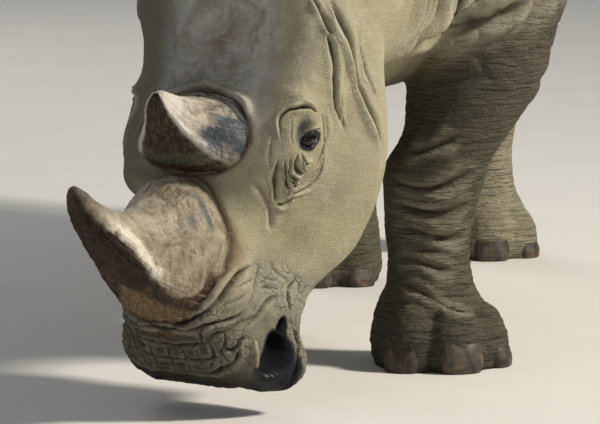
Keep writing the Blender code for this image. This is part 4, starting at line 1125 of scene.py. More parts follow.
def hideFinish():
    c = hideColours
    f = Finish("hide", 0.80, Specular_IOR_Level=0.20)
    where = f.place()
    broad = f.noise(where, 2.6, 4.0, 0.6, 0.4)
    middle = f.noise(where, 17.0, 4.0, 0.65)
    fine = f.noise(where, 95.0, 3.0, 0.6)
    colour = f.mix(f.fit(broad, 0.36, 0.64), c["grey"], c["khaki"])
    colour = f.mix(f.times(f.fit(middle, 0.50, 0.72), 0.55), colour, c["dustAndLight"])
    patchy = f.noise(where, 8.0, 5.0, 0.62, 0.8)
    colour = f.mix(f.fit(patchy, 0.50, 0.68, 0.0, 0.42), colour, c["umber"])
    frost = f.times(f.mark("frost"), f.fit(f.noise(where, 30.0, 5.0, 0.7, 0.5), 0.30, 0.66, 0.35, 1.0))
    colour = f.mix(frost, colour, c["frost"])
    earthy = f.fit(f.noise(where, 13.0, 5.0, 0.68, 1.2), 0.46, 0.66, 0.0, 0.75)
    colour = f.mix(f.times(f.mark("frost"), earthy), colour, c["rub"])
    colour = f.mix(f.times(f.mark("plate"), 0.7), colour, c["ash"])
    # painted shade: towards dark olive by the shade mark
    colour = f.mix(f.times(f.mark("paintedShade"), f.fit(middle, 0.2, 0.8, 0.90, 1.0)), colour, c["shadeOlive"])
    rub = f.times(f.mark("rub"), f.fit(middle, 0.35, 0.65, 0.15, 0.85))
    colour = f.mix(rub, colour, c["rub"])
    scratches = f.noise(f.place((26, 26, 190), (0.5, 0.35, 0.3)), 1.0, 3.0, 0.55, 0.5)
    hurt = f.times(f.math("ADD", f.mark("rub"), f.times(f.mark("frost"), 0.60)),
                  f.fit(scratches, 0.60, 0.70, 0.0, 0.60))
    colour = f.mix(hurt, colour, c["scratch"])
    colour = f.mix(f.times(f.mark("rust"), f.fit(middle, 0.3, 0.6, 0.2, 0.8)), colour, c["rust"])
    # painted highlight, partly dust, on the raised lips of the folds
    colour = f.mix(f.times(f.mark("high"), 0.55), colour, c["dustAndLight"])
    pebbles = f.plates(f.bent(where, 60.0, 0.006), 150.0)
    lines = f.fit(pebbles, 0.0, 0.16)
    soft = f.fit(middle, 0.35, 0.65, 0.04, 0.26)
    # painted shade in the cracks between pebbles
    colour = f.mix(f.times(f.math("SUBTRACT", 1.0, lines), soft), colour, c["creaseShade"])
    # painted shade in the hollows round the eyes
    colour = f.mix(f.times(f.mark("hollowShade"), 0.85), colour, c["hollowShade"])
    cell = f.plates(f.bent(f.place((1.0, 1.0, 1.5)), 34.0, 0.020), 25.0)
    plates = f.times(f.fit(cell, 0.0, 0.060, 1.0, 0.0), f.mark("plate"))
    plates = f.times(plates, f.fit(f.noise(where, 24.0, 2.0), 0.38, 0.60, 0.15, 0.9))
    small = f.plates(f.bent(f.place((1.0, 1.0, 1.3)), 60.0, 0.010), 70.0)
    small = f.times(f.fit(small, 0.0, 0.10, 1.0, 0.0), f.mark("plate"))
    seam = f.times(f.fit(f.math("ABSOLUTE", f.mark("seam")), 0.15, 1.05, 1.0, 0.0), f.mark("seamMark"))
    cut = f.math("MAXIMUM", seam, f.math("MAXIMUM", plates, f.times(small, 0.16)))
    # painted shade in the fold lines and the cracks between plates
    colour = f.mix(f.times(cut, 0.80), colour, c["creaseShade"])
    # painted shade where the dark mark is: the cleft round the horns and the cracks
    colour = f.mix(f.fit(f.mark("dark"), 0.10, 0.95, 0.0, 0.85), colour, c["creaseShade"])
    colour = f.mix(f.fit(f.mark("wet"), 0.10, 0.70), colour, c["wet"])
    # nostril rim: partly paler skin, partly a painted highlight
    colour = f.mix(f.fit(f.mark("pale"), 0.15, 0.85), colour, c["rim"])
    roughness = f.fit(f.mark("wet"), 0.3, 0.9, 0.82, 0.38)
    dry = f.fit(f.mark("wet"), 0.2, 0.7, 1.0, 0.05)
    bands = f.noise(f.place((11.0, 11.0, 105.0)), 1.0, 3.0, 0.55, 0.7)
    folds = f.fit(f.plates(f.place((1.0, 1.0, 3.0)), 34.0), 0.0, 0.14)
    legs = f.times(f.mark("leg"), f.math("ADD", bands, f.times(folds, 0.05)))
    hatch = f.noise(f.place((34.0, 34.0, 150.0), (0.35, -0.5, 0.0)), 1.0, 3.0, 0.55, 0.6)
    normal = f.bump(legs, 1.0, 0.022)
    normal = f.bump(f.math("SUBTRACT", 1.0, cut), 0.55, 0.0035, normal)
    normal = f.bump(f.times(hatch, dry), 0.35, 0.0040, normal)
    normal = f.bump(f.times(lines, dry), 0.34, 0.0016, normal)
    normal = f.bump(f.times(middle, dry), 0.35, 0.0060, normal)
    normal = f.bump(f.times(fine, dry), 0.30, 0.0020, normal)
    return f.end(colour, roughness, normal)


hide = hideFinish()
bodyNodes = ["head", "neck", "trunk", "tail", "ear_left", "ear_right", *feet]


def thinned(points, faces, work):
    # collapsed to the triangles it may have, with the marks on its points carried along
    obj = placed("work", meshOf("work", points, faces))
    for name in marks:
        addMark(obj.data, name, work[name])
    group = obj.vertex_groups.new(name="free")
    weight = np.round(10 * np.clip(skin["freest"] * work["far"] + skin["least"], 0, 1))
    for level in range(1, 11):
        group.add(np.flatnonzero(weight == level).tolist(), level / 10, "REPLACE")
    modifier = obj.modifiers.new("thin", "DECIMATE")
    modifier.vertex_group, modifier.vertex_group_factor = "free", skin["hold"]
    modifier.ratio = min(1.0, skin["triangles"] / (2 * len(faces)))
    modifier.use_collapse_triangulate = True
    made = applied(obj)
    made.name = "skin"
    return made


skinObject = placed("skin", thinned(points, faces, work))
skinObject.data.materials.clear()
skinObject.data.materials.append(hide)
skinObject.data.polygons.foreach_set("use_smooth", np.ones(len(skinObject.data.polygons), bool))
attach(skinObject, "root")
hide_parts(*bodyNodes)
print("skin made:", len(skinObject.data.polygons), "triangles")


horns = {
    # along and up in the head's own frame: root, bend and tip; then at shares of the way the half width, the
    # reach towards the poll and towards the nose, and the shift of the widest line
    "front": {"line": ((0.218, -0.055), (0.162, 0.165), (0.239, 0.318)),
              "table": ((0.00, 0.102, 0.132, 0.132, 0.000), (0.10, 0.103, 0.140, 0.132, 0.000),
                        (0.18, 0.100, 0.139, 0.124, 0.010), (0.26, 0.090, 0.120, 0.108, 0.024),
                        (0.36, 0.073, 0.080, 0.088, 0.032), (0.50, 0.054, 0.049, 0.064, 0.026),
                        (0.66, 0.040, 0.033, 0.046, 0.018), (0.80, 0.030, 0.025, 0.034, 0.013),
                        (0.92, 0.020, 0.018, 0.022, 0.007), (1.00, 0.006, 0.006, 0.006, 0.000))},
    "rear": {"line": ((0.434, -0.050), (0.434, 0.075), (0.479, 0.136)),
             "table": ((0.00, 0.122, 0.078, 0.068, 0.000), (0.14, 0.122, 0.078, 0.070, 0.004),
                       (0.26, 0.115, 0.073, 0.069, 0.014), (0.40, 0.092, 0.062, 0.061, 0.018),
                       (0.56, 0.062, 0.047, 0.049, 0.014), (0.72, 0.039, 0.033, 0.036, 0.010),
                       (0.87, 0.025, 0.022, 0.024, 0.006), (0.96, 0.015, 0.014, 0.015, 0.003),
                       (1.00, 0.005, 0.005, 0.005, 0.000))},
}


def hornGrid(values, rows, columns):
    # a squarish ring at each share t of a quadratic Bezier:
    # c(t) + (w |cos a|^(2/n), (reach +- shift) |sin a|^(2/n))
    root, bend, tip = (np.array(p) for p in values["line"])
    table = smoothTable(values["table"], rows)
    t = np.clip(table[:, :1], 0, 1)
    centre = (1 - t) ** 2 * root + 2 * t * (1 - t) * bend + t * t * tip
    ahead = unit(2 * (1 - t) * (bend - root) + 2 * t * (tip - bend))
    wide = np.stack([ahead[:, 1], -ahead[:, 0]], 1)
    turn = np.linspace(0, 2 * np.pi, columns, endpoint=False)
    cos, sin = np.cos(turn), np.sin(turn)
    power = np.where(sin < 0, 2.8, 2.1)     # squarer on the worn front
    poll, nose, shift = table[:, 2:3], table[:, 3:4], table[:, 4:5]
    u = np.sign(cos) * np.abs(cos) ** (2 / power) * table[:, 1:2]
    v = np.sign(sin) * np.abs(sin) ** (2 / power) * np.where(sin > 0, poll + shift, nose - shift) - shift
    spots = centre[:, None] + v[..., None] * wide[:, None]
    return np.stack([u, spots[..., 0], spots[..., 1]], 2), t, turn


class HornSurface:
    # the grid in the head's own frame; at each point the share of the way and the side it is on, in degrees
    # from the left: 90 at the poll, -90 at the nose, the right side mirrored
    def __init__(self, name, rows, columns):
        self.grid, t, turn = hornGrid(horns[name], rows, columns)
        self.along = np.broadcast_to(t, self.grid.shape[:2])
        around = np.broadcast_to(turn, self.grid.shape[:2])
        self.circle = np.stack([np.cos(around), np.sin(around), self.along], 2)
        face = np.degrees(np.angle(np.exp(1j * around)))
        self.side = np.where(np.abs(face) > 90, 180 - np.abs(face), np.abs(face)) * np.sign(face)
        self.fibres = self.lines(34, 7, 7)
        self.bands = self.lines(2.5, 46, 9)
        self.streaks = self.lines(60, 3, 11)

    def outward(self):
        # the crossed differences round and along the grid
        out = np.cross(np.roll(self.grid, -1, 1) - np.roll(self.grid, 1, 1), np.gradient(self.grid, axis=0))
        out /= np.linalg.norm(out, axis=2, keepdims=True) + 1e-12
        return out * np.sign(np.sum(out * (self.grid - self.grid.mean(1, keepdims=True))))

    def lines(self, fineness, length, seed):
        # rough noise drawn out along the horn
        stretched = self.circle * np.array([fineness, fineness, length])
        return roughNoise(stretched.reshape(-1, 3), 2, seed).reshape(self.along.shape)

    def patches(self, size, seed):
        return roughNoise((self.grid / size).reshape(-1, 3), 3, seed).reshape(self.along.shape)

    def spot(self, centre, reach):
        # exp(-farness^1.5)
        return np.exp(-farness(self.grid, centre, reach) ** 1.5)


frontWear = {   # in the head's own frame
    # where the pale flank ends and the dark front begins, along and up
    "ridge": ((0.175, -0.010), (0.130, 0.000), (0.109, 0.035), (0.116, 0.066), (0.127, 0.096), (0.140, 0.122),
              (0.156, 0.145), (0.169, 0.169), (0.179, 0.196), (0.187, 0.228), (0.194, 0.255), (0.204, 0.281),
              (0.216, 0.304), (0.228, 0.320)),
    # how high the rough skirt reaches, as a share of the way, at sides from the nose to the left
    "skirt": ((-90, -75, -63, -53, -42, -32), (0.40, 0.345, 0.27, 0.19, 0.10, -0.05)),
    # the middle line of a blue-grey streak, and two spots: centre, reach, strength
    "streak": ((0.042, 0.328, 0.044), (0.060, 0.312, 0.032), (0.078, 0.291, 0.024), (0.090, 0.268, 0.012),
               (0.098, 0.242, -0.002)),
    "spots": (((0.040, 0.300, 0.046), (0.022, 0.030, 0.020), 0.45),
              ((0.080, 0.257, 0.048), (0.014, 0.016, 0.012), 0.7)),
}
rearWear = {
    # the side at which the flank ends, at shares of the way
    "bend": ((0.0, 0.25, 0.5, 0.8, 1.0), (-46.0, -44.0, -42.0, -42.0, -42.0)),
    "band": (0.041, 0.014),     # height and half width of the rough band across the front
    "spots": (((0.106, 0.434, 0.010), (0.040, 0.046, 0.048), 1.7),
              ((0.074, 0.420, 0.050), (0.032, 0.026, 0.022), 1.1)),
}


def wornFront(h):
    # the front horn's lift, and its marks from 0 to 1
    along, side, fibres, values = h.along, h.side, h.fibres, frontWear
    ridgeY, ridgeZ = np.array(values["ridge"]).T
    ahead = np.interp(h.grid[..., 2], ridgeZ, ridgeY) - h.grid[..., 1] + 0.0045 * h.patches(0.014, 3)
    front = ramp(ahead, -0.009, 0.007) * (side < 25)
    # the strip beside the front's edge: raised, and painted paler as a painted highlight
    ridge = np.exp(-((ahead + 0.015) / 0.013) ** 2) * ramp(along, 0.30, 0.42)
    top = np.interp(side, *values["skirt"])
    skirt = ramp(top - along + 0.035 * fibres, -0.02, 0.05) * (side < 0)
    worn = (1 - front) * (1 - 0.9 * skirt)
    scaly = ramp(0.36 - along, 0, 0.16) * ramp(side, 20, 60)        # the foot, towards the poll
    lift = 0.0020 * front * fibres + 0.0022 * skirt * (fibres + h.lines(60, 5, 13)) + 0.0010 * front * h.bands
    lift += worn * (0.0012 * h.patches(0.030, 15) + 0.0007 * h.patches(0.008, 17) + 0.0006 * h.streaks)
    lift -= 0.008 * worn * np.exp(-((along - 0.31) / 0.10) ** 2) * np.exp(-((side - 2) / 26) ** 2)
    lift += 0.0035 * ridge * worn + 0.0016 * scaly * worn * (fibres + h.patches(0.009, 29))
    index, gap, share, _ = nearLine(h.grid.reshape(-1, 3), values["streak"], 0.03, 0.003)
    blue = np.zeros(along.size)
    gap = gap * (1.25 + 0.9 * h.patches(0.013, 19).ravel()[index])
    blue[index] = np.exp(-(gap / 0.012) ** 2) * ramp(share, 0, 0.40) * ramp(1 - share, 0, 0.20)
    fading = 0.70 + 0.30 * ramp(h.streaks + h.patches(0.030, 19), -0.6, 0.6)
    blue = 1.25 * blue.reshape(along.shape) * fading
    for centre, reach, strength in values["spots"]:
        blue += strength * h.spot(centre, reach)
    dirt = ramp(h.patches(0.022, 21) + 0.4 * fibres, 0.05, 0.50) * ramp(0.60 - along, 0, 0.25)
    dirt = np.maximum(dirt, scaly * ramp(fibres, -0.3, 0.3))
    dirt = np.maximum(dirt, ramp(0.32 - along, 0, 0.16) * ramp(25 - side, 0, 40) * 0.9)
    tip = ramp(along + 0.02 * fibres, 0.86, 0.95) * 0.85
    tip = np.maximum(tip, 0.65 * worn * ramp(along, 0.58, 0.88))
    # pale worn keratin, paler along the ridge as a painted highlight
    pale = worn * (0.10 + 0.90 * ridge * ramp(along, 0.24, 0.36) * ramp(0.90 - along, 0, 0.25))
    return lift, {"worn": worn, "pale": pale, "dark": front * (1 - skirt), "skirt": skirt, "blue": blue,
                  "dirt": dirt, "tip": tip, "rim": ridge}


def wornRear(h):
    # the same of the rear horn
    along, side, fibres, values = h.along, h.side, h.fibres, rearWear
    past = np.interp(along, *values["bend"]) - side + 5 * h.patches(0.018, 3)
    front = ramp(past, -9, 8)
    # the strip beside the front's edge: raised, and painted paler as a painted highlight
    ridge = np.exp(-((past + 14) / 12) ** 2) * ramp(along, 0.2, 0.4)
    height, half = values["band"]
    band = np.exp(-((h.grid[..., 2] - height + 0.004 * fibres) / half) ** 4) * ramp(-side, 10, 40)
    skirt = band * front
    worn = 1 - front
    lift = front * (0.0024 * h.bands + 0.0012 * h.lines(12, 90, 23)) + 0.0010 * skirt * fibres
    lift += worn * (0.0018 * h.patches(0.030, 25) + 0.0008 * h.patches(0.008, 27) + 0.0005 * h.streaks)
    dip = 0.004 * worn * np.exp(-((along - 0.45) / 0.12) ** 2) * np.exp(-(side / 30) ** 2)
    lift += 0.003 * ridge * worn - dip
    blue = sum(h.spot(centre, reach) * strength for centre, reach, strength in values["spots"])
    blue = blue * (0.55 + 0.45 * ramp(h.patches(0.016, 29) + 0.5 * h.streaks, -0.4, 0.2))
    low = ramp(0.55 - along, 0, 0.1) * ramp(side, 10, 40)
    blue += low * ramp(h.streaks + h.patches(0.02, 33), -0.1, 0.4) * 0.6
    dirt = worn * ramp(h.patches(0.016, 31) + fibres * 0.4, 0.25, 0.6) * ramp(0.80 - along, 0, 0.3)
    # pale worn keratin, paler towards the tip, and along the ridge a painted highlight
    pale = worn * np.maximum(0.25 + 0.35 * ramp(along, 0.45, 0.75), ridge)
    return lift, {"worn": worn, "pale": pale, "dark": front * (1 - skirt), "skirt": skirt, "blue": blue,
                  "dirt": dirt, "tip": 0 * along, "rim": ridge}


def hornPiece(name, rows, columns, replaced):
    h = HornSurface(name, rows, columns)
    lift, marks = wornFront(h) if name == "front" else wornRear(h)
    marks["blue"] = np.clip(marks["blue"], 0, 1) * marks["worn"]
    marks["dirt"] = np.clip(marks["dirt"], 0, 1)
    marks["rim"] = marks["rim"] * marks["worn"] * ramp(0.92 - h.along, 0, 0.3)
    points, faces = loft(toBody(h.grid + h.outward() * lift[..., None]))
    made = piece("horn_" + name + "_worn", points, faces, hornFinish(name), replaced)
    for mark, values in marks.items():
        addGridMark(made.data, mark, values)


hornColours = {
    "front": {"beige": (0.330, 0.290, 0.205), "pale": (0.720, 0.660, 0.530), "dark": (0.016, 0.008, 0.004),
              "brown": (0.058, 0.031, 0.014), "ochre": (0.160, 0.118, 0.064), "blue": (0.055, 0.064, 0.072),
              "low": (0.230, 0.160, 0.078), "lowDark": (0.090, 0.058, 0.028)},
    "rear": {"beige": (0.410, 0.360, 0.275), "pale": (0.640, 0.605, 0.530), "dark": (0.030, 0.018, 0.010),
             "brown": (0.140, 0.088, 0.048), "ochre": (0.230, 0.175, 0.110), "blue": (0.042, 0.052, 0.062),
             "low": (0.120, 0.128, 0.076), "lowDark": (0.052, 0.054, 0.034)},
    "dirt": (0.135, 0.082, 0.042), "tip": (0.052, 0.038, 0.020),
}


def hornFinish(name):
    c = hornColours[name]
    f = Finish("hornKeratin" + name.capitalize(), 0.62, Specular_IOR_Level=0.35)
    where = f.place()
    broad = f.noise(where, 30.0, 4.0, 0.6, 0.6)
    fine = f.noise(where, 220.0, 3.0, 0.6)
    turn = math.radians(-headPose["turn"])
    threads = f.noise(f.place((160, 160, 14), (0, 0, turn)), 1.0, 3.0, 0.6)
    stain = f.noise(where, 75.0, 4.0, 0.7, 0.8)
    colour = f.mix(f.mark("worn"), c["brown"], f.mix(f.fit(broad, 0.32, 0.66), c["ochre"], c["beige"]))
    colour = f.mix(f.times(f.mark("pale"), f.fit(broad, 0.25, 0.52)), colour, c["pale"])
    colour = f.mix(f.mark("dark"), colour, f.mix(f.fit(threads, 0.46, 0.74), c["dark"], c["brown"]))
    colour = f.mix(f.mark("skirt"), colour, f.mix(f.fit(threads, 0.40, 0.62), c["lowDark"], c["low"]))
    colour = f.mix(f.mark("blue"), colour, c["blue"])
    # painted highlight along the ridge
    rim = f.times(f.mark("rim"), f.fit(stain, 0.35, 0.62, 0.75, 0.25))
    colour = f.mix(rim, colour, c["pale"])
    dirt = f.times(f.mark("dirt"), f.fit(stain, 0.42, 0.60, 0.0, 0.75))
    colour = f.mix(dirt, colour, hornColours["dirt"])
    colour = f.mix(f.mark("tip"), colour, hornColours["tip"])
    normal = f.bump(threads, 0.60, 0.0020)
    normal = f.bump(stain, 0.35, 0.0018, normal)
    normal = f.bump(fine, 0.35, 0.0012, normal)
    return f.end(colour, f.fit(fine, 0.3, 0.7, 0.5, 0.75), normal)


hornRows = ((240, 330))
hornPiece("front", *hornRows, ["horn_front"])
hornPiece("rear", *hornRows, ["horn_rear"])
print("horns made")


def eyeFinish():
    f = Finish("eyeball", 0.06, Specular_IOR_Level=0.30, Coat_Weight=0.25, Coat_Roughness=0.04)
    where = f.place()
    threads = f.noise(where, 900.0, 3.0)
    iris = f.mix(f.fit(threads, 0.3, 0.7), (0.004, 0.003, 0.002), (0.014, 0.008, 0.005))
    white = f.mix(f.noise(where, 260.0), (0.040, 0.034, 0.032), (0.075, 0.064, 0.058))
    colour = f.mix(f.fit(f.mark("across"), 0.60, 0.66), iris, white)
    colour = f.mix(f.fit(f.mark("pupil"), 0.95, 1.10), (0.003, 0.003, 0.004), colour)
    return f.end(colour)


def eyePiece(side, word, rows=48, columns=64):
    # r = R - slack + cornea * exp(-(a / 0.45)^2) at the angle a from the way it looks
    centre, along, up, out = eyeFrame(side)
    a = np.linspace(0.02, np.pi - 0.02, rows)[:, None]
    b = np.linspace(0, 2 * np.pi, columns, endpoint=False)[None]
    radius = eyeSizes["radius"] + eyeSizes["cornea"] * np.exp(-(a / 0.45) ** 2) - eyeSizes["slack"]
    spots = (radius * np.sin(a) * np.cos(b))[..., None] * along
    spots = spots + (radius * np.sin(a) * np.sin(b))[..., None] * up
    spots = spots + (radius * np.cos(a) * np.ones_like(b))[..., None] * out + centre
    points, faces = loft(spots)
    made = piece("eyeball_" + word, points, faces, eyeMaterial, ["eye_" + word])
    pupil = np.sqrt((np.sin(a) * np.cos(b) / 0.26) ** 2 + (np.sin(a) * np.sin(b) / 0.17) ** 2) + (a > 1.5) * 9
    for mark, values in (("across", a + 0 * b), ("pupil", pupil)):
        addGridMark(made.data, mark, values)


eyeMaterial = eyeFinish()
eyePiece(1, "left")
eyePiece(-1, "right")
print("eyes made")


# nails, from the floor up: height, half width, half thickness, how far back
nailTable = ((0.000, 0.038, 0.022, -0.001), (0.004, 0.041, 0.025, 0.000), (0.022, 0.046, 0.027, 0.002),
             (0.054, 0.042, 0.024, 0.009), (0.074, 0.033, 0.017, 0.017), (0.086, 0.020, 0.010, 0.024))


hair = {
    "ear": {"locks": 220, "from": 0.40, "length": (0.014, 0.030), "width": 0.00075},
    "tail": {"locks": 1100, "from": 0.80, "length": (0.090, 0.170), "width": 0.0012},
    "lash": {"locks": 44, "length": (0.010, 0.016), "width": 0.00040},
}


def hairFinish():
    f = Finish("bristle", 0.50, Specular_IOR_Level=0.35)
    where = f.place()
    clumps = f.noise(where, 120.0, 3.0)
    strands = f.noise(f.place((900, 900, 60)), 1.0, 2.0)
    colour = f.mix(f.fit(clumps, 0.35, 0.65), (0.018, 0.013, 0.010), (0.075, 0.055, 0.036))
    colour = f.mix(f.times(f.fit(strands, 0.5, 0.7), 0.4), colour, (0.150, 0.115, 0.075))
    return f.end(colour, f.fit(strands, 0.3, 0.7, 0.40, 0.60), f.bump(strands, 0.3, 0.0006))


def hairPiece(name, roots, heads, bends, values, rng, spots):
    # p(s) = root + L (s h + s^2 b) with a ring of three at half width w (1 - s)^0.6; in the map OFBake each
    # lock is a patch 0.003 across at its root's spot
    lengths = between(rng, values["length"], values["locks"])
    hidePoints = pointsOf(skinObject.data)
    around = (hidePoints > roots.min(0) - 0.03) & (hidePoints < roots.max(0) + 0.03)
    close = hidePoints[np.all(around, axis=1)]
    nearest = [np.linalg.norm(close - root, axis=1).argmin() for root in roots]
    roots = close[nearest] - 0.0015 * heads
    s = np.linspace(0, 1, 6)[None, :, None]
    path = roots[:, None] + lengths[:, None, None] * (s * heads[:, None] + s * s * bends[:, None])
    wide = unit(np.cross(heads, np.array([0.31, 0.52, 0.79])))
    deep = np.cross(heads, wide)
    turn = np.arange(3) * 2 * np.pi / 3
    ring = np.cos(turn)[:, None] * wide[:, None] + np.sin(turn)[:, None] * deep[:, None]
    thick = values["width"] * (0.06 + 0.94 * (1 - s) ** 0.6)
    points = path[:, :, None] + thick[..., None] * ring[:, None]
    index = np.arange(len(roots) * 18).reshape(-1, 6, 3)
    low, high = index[:, :-1], index[:, 1:]
    lowNext, highNext = np.roll(low, -1, 2), np.roll(high, -1, 2)
    faces = np.concatenate([np.stack([low, lowNext, highNext], 3).reshape(-1, 3),
                            np.stack([low, highNext, high], 3).reshape(-1, 3),
                            index[:, 0, ::-1], index[:, -1]])
    made = piece(name, points.reshape(-1, 3), faces, hairMaterial)
    corners = faces.ravel()
    patch = 0.003 * np.stack([(corners % 3) / 2, (corners // 3 % 6) / 5], 1)
    layer = made.data.uv_layers.new(name="OFBake")
    layer.data.foreach_set("uv", (spots[corners // 18] + patch).astype(np.float32).ravel())


def between(rng, ends, count):
    return ends[0] + (ends[1] - ends[0]) * rng.random(count)


def earFringe(side, word):
    values, rng = hair["ear"], np.random.default_rng(31 + side)
    count = values["locks"]
    edge = np.where(np.arange(count) % 2 == 0, 0.0, np.pi)
    t = values["from"] + (1 - values["from"]) * rng.random(count) ** 0.8
    roots = toBody(earGrid(t, edge) * (side, 1, 1))
    _, _, ahead, face, across = earAxes()
    heads = ahead * (0.5 + 0.7 * t[:, None]) + np.cos(edge)[:, None] * across * (1.4 - t[:, None])
    heads = heads + 0.3 * face
    heads = unit(heads + 0.35 * rng.standard_normal((count, 3))) * (side, 1, 1) @ headTurn.T
    bends = 0.3 * rng.standard_normal((count, 3)) + (0, 0, -0.15)
    spots = np.stack([0.05 + 0.4 * (edge > 1) + 0.05 * rng.random(count), 0.05 + 0.9 * t], 1)
    hairPiece("hair_ear_" + word, roots, heads, bends, values, rng, spots)


def tailTuft():
    values, rng = hair["tail"], np.random.default_rng(41)
    count = values["locks"]
    table = smoothTable(tailTable, 200)
    t = values["from"] + (0.995 - values["from"]) * rng.random(count) ** 0.6
    turn = 2 * np.pi * rng.random(count)
    row = np.minimum((t * 199).astype(int), 198)
    around = np.stack([np.cos(turn), np.sin(turn), 0 * turn], 1)
    roots = table[row, :3] + frameShift + around * table[row, 3:4]
    heads = unit(np.array([0, 0, -1.0]) + around * (0.42, 0.26, 0) + 0.12 * rng.standard_normal((count, 3)))
    bends = np.array([0, 0, -0.15]) - 0.20 * around + 0.10 * rng.standard_normal((count, 3))
    spots = np.stack([0.05 + 0.9 * turn / (2 * np.pi), 0.05 + 0.9 * t], 1)
    hairPiece("hair_tail", roots, heads, bends, values, rng, spots)


def lashes(side, word):
    values, rng = hair["lash"], np.random.default_rng(51 + side)
    count = values["locks"]
    centre, along, up, out = eyeFrame(side)
    tilt = math.radians(lids["turn"])
    p = np.linspace(-0.75, 0.85, count) * lids["length"]
    s = lids["upper"] * (1 - (p / lids["length"]) ** 2) + 0.0016
    u, v = p * math.cos(tilt) - s * math.sin(tilt), p * math.sin(tilt) + s * math.cos(tilt)
    o = np.sqrt((eyeSizes["radius"] + lids["thick"]) ** 2 - u * u - v * v)
    roots = centre + u[:, None] * along + v[:, None] * up + o[:, None] * out
    above = up * math.cos(tilt) - along * math.sin(tilt)
    heads = unit(out * 1.0 + 0.25 * above + (p / lids["length"])[:, None] * 0.5 * along
                 + 0.12 * rng.standard_normal((count, 3)))
    bends = -0.35 * above + 0.08 * rng.standard_normal((count, 3)) + (0, 0, -0.25)
    spots = np.stack([0.1 + 0.8 * (p / lids["length"] + 1) / 2, 0.5 + 0 * p], 1)
    hairPiece("lashes_" + word, roots, heads, bends, values, rng, spots)


hairMaterial = hairFinish()
for side, word in ((1, "left"), (-1, "right")):
    earFringe(side, word)
    lashes(side, word)
tailTuft()
print("hair made")


def nailFinish():
    f = Finish("nail", 0.55, Specular_IOR_Level=0.35)
    where = f.place()
    broad = f.noise(where, 26.0, 4.0, 0.6, 0.8)
    grain = f.noise(f.place((150, 150, 14)), 1.0, 2.0)
    rings = f.noise(f.place((14, 14, 260)), 1.0, 2.0)
    colour = f.mix(f.fit(broad, 0.38, 0.60), (0.028, 0.023, 0.018), (0.078, 0.060, 0.041))
    colour = f.mix(f.times(f.fit(broad, 0.58, 0.70), 0.6), colour, (0.230, 0.105, 0.045))
    colour = f.mix(f.times(f.fit(grain, 0.5, 0.7), 0.25), colour, (0.15, 0.13, 0.10))
    normal = f.bump(grain, 0.4, 0.0012)
    normal = f.bump(rings, 0.4, 0.0012, normal)
    return f.end(colour, f.fit(broad, 0.3, 0.7, 0.45, 0.7), normal)


nailMaterial = nailFinish()


def nailPiece(name, toe, rows=44, columns=72):
    # eggs up the toe, leaning back, with lift = grain noise + noise in thin layers + soft noise in front
    ahead, side = toeFrames(name)[toe]
    size = footScale(name) * (1.0 if toe == 1 else 0.86)
    reach = footScale(name) * (toes["reach"] + toes["size"][1]) - 0.014
    table = smoothTable(nailTable, rows)
    turn = np.linspace(0, 2 * np.pi, columns, endpoint=False)
    cos, sin = np.cos(turn), np.sin(turn)
    u = np.sign(cos) * np.abs(cos) ** 0.9 * table[:, 1:2] * size
    v = np.sign(sin) * np.abs(sin) ** 0.9 * table[:, 2:3] * size
    z = np.maximum(table[:, :1], 0) * size + 0 * u
    key = np.stack([u * 120, v * 120, z * 30 + toe * 7], 2).reshape(-1, 3)
    grain = roughNoise(key, 2, 3).reshape(u.shape)
    grown = roughNoise(np.stack([u * 12, v * 12, z * 170 + toe * 9], 2).reshape(-1, 3), 2, 5).reshape(u.shape)
    lift = (0.0007 * grain + 0.0009 * grown) * ramp(z, 0.001, 0.01)
    lift = lift + 0.002 * softNoise(key / 9).reshape(u.shape)
    v = v + lift * (sin > 0)
    centre = footCentre(name) + ahead * reach
    spots = centre + u[..., None] * side + (v - table[:, 3:4])[..., None] * ahead + z[..., None] * [0, 0, 1.0]
    points, faces = loft(spots)
    title = f"{name}_{toe + 1}"
    piece("nail_" + title, points, faces, nailMaterial, ["toenail_" + title])


for name in feet:
    for toe in range(3):
        nailPiece(name, toe)
print("nails made")


def floorDisc(radius, rings=6, count=64):
    # r (cos a, sin a, 0) for growing r
    turn = np.linspace(0, 2 * np.pi, count, endpoint=False)
    reach = np.concatenate([[0.00001], np.linspace(0.05, 1, rings - 1)])[:, None] * radius
    grid = np.stack([reach * np.cos(turn), reach * np.sin(turn), 0 * reach * turn], 2).reshape(-1, 3)
    index = np.arange(rings * count).reshape(rings, count)
    walls = np.stack([index[:-1], index[1:], np.roll(index[1:], -1, 1), np.roll(index[:-1], -1, 1)], 2)
    return grid, walls.reshape(-1, 4)


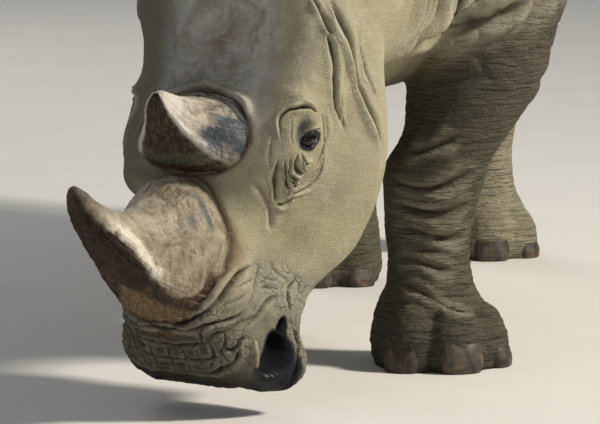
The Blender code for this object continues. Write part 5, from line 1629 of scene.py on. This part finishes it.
def floorFinish():
    f = Finish("paleFloor", 0.9)
    where = f.place()
    return f.end(f.mix(f.noise(where, 3.0, 5.0), (0.62, 0.60, 0.56), (0.70, 0.68, 0.64)))


floorPoints, floorFaces = floorDisc(40.0)
floor = placed("floor", meshOf("floor", floorPoints - np.array([0, 0, 0.0005]), floorFaces))
floor.data.materials.append(floorFinish())

lights = {
    "key": {"place": (6.2, -0.9, 5.8), "target": (0.0, -0.9, 0.5), "size": 1.3, "power": 900.0,
            "colour": (1.0, 0.94, 0.84)},
    "front": {"place": (-3.5, -7.5, 3.5), "target": (0.0, -0.8, 0.6), "size": 5.0, "power": 60.0,
              "colour": (0.88, 0.93, 1.0)},
    "back": {"place": (-4.0, 6.0, 4.5), "target": (0.0, 0.3, 1.0), "size": 4.0, "power": 130.0,
             "colour": (1.0, 0.97, 0.93)},
}


def looking(place, target):
    # -Z along target - place, Y as near up as it can be
    z = unit(np.array(place) - np.array(target))
    x = unit(np.cross([0, 0, 1.0], z))
    rows = np.eye(4)
    rows[:3] = np.stack([x, np.cross(z, x), z, place], 1)
    return Matrix(rows.tolist())


for name, values in lights.items():
    lamp = bpy.data.lights.new(name, "AREA")
    lamp.shape, lamp.size = "DISK", values["size"]
    lamp.energy, lamp.color = values["power"], values["colour"]
    placed(name, lamp).matrix_world = looking(values["place"], values["target"])

world = bpy.data.worlds.new("studio")
world.use_nodes = True
sky = {"colour": (0.80, 0.85, 0.92, 1), "strength": 0.27}
background = world.node_tree.nodes["Background"]
background.inputs["Color"].default_value = sky["colour"]
background.inputs["Strength"].default_value = sky["strength"]
bpy.context.scene.world = world
bpy.context.scene.view_settings.view_transform = "Standard"

cameraSizes = {"place": (1.3404, -10.4368, 1.6), "turn": 8.0, "down": 7.38, "lens": 300.0, "sensor": 36.0}
lens = bpy.data.cameras.new("camera")
lens.lens, lens.sensor_width, lens.clip_end = cameraSizes["lens"], cameraSizes["sensor"], 200.0
camera = placed("camera", lens)
camera.location = cameraSizes["place"]
camera.rotation_euler = (math.radians(90 - cameraSizes["down"]), 0, math.radians(cameraSizes["turn"]))
bpy.context.scene.camera = camera
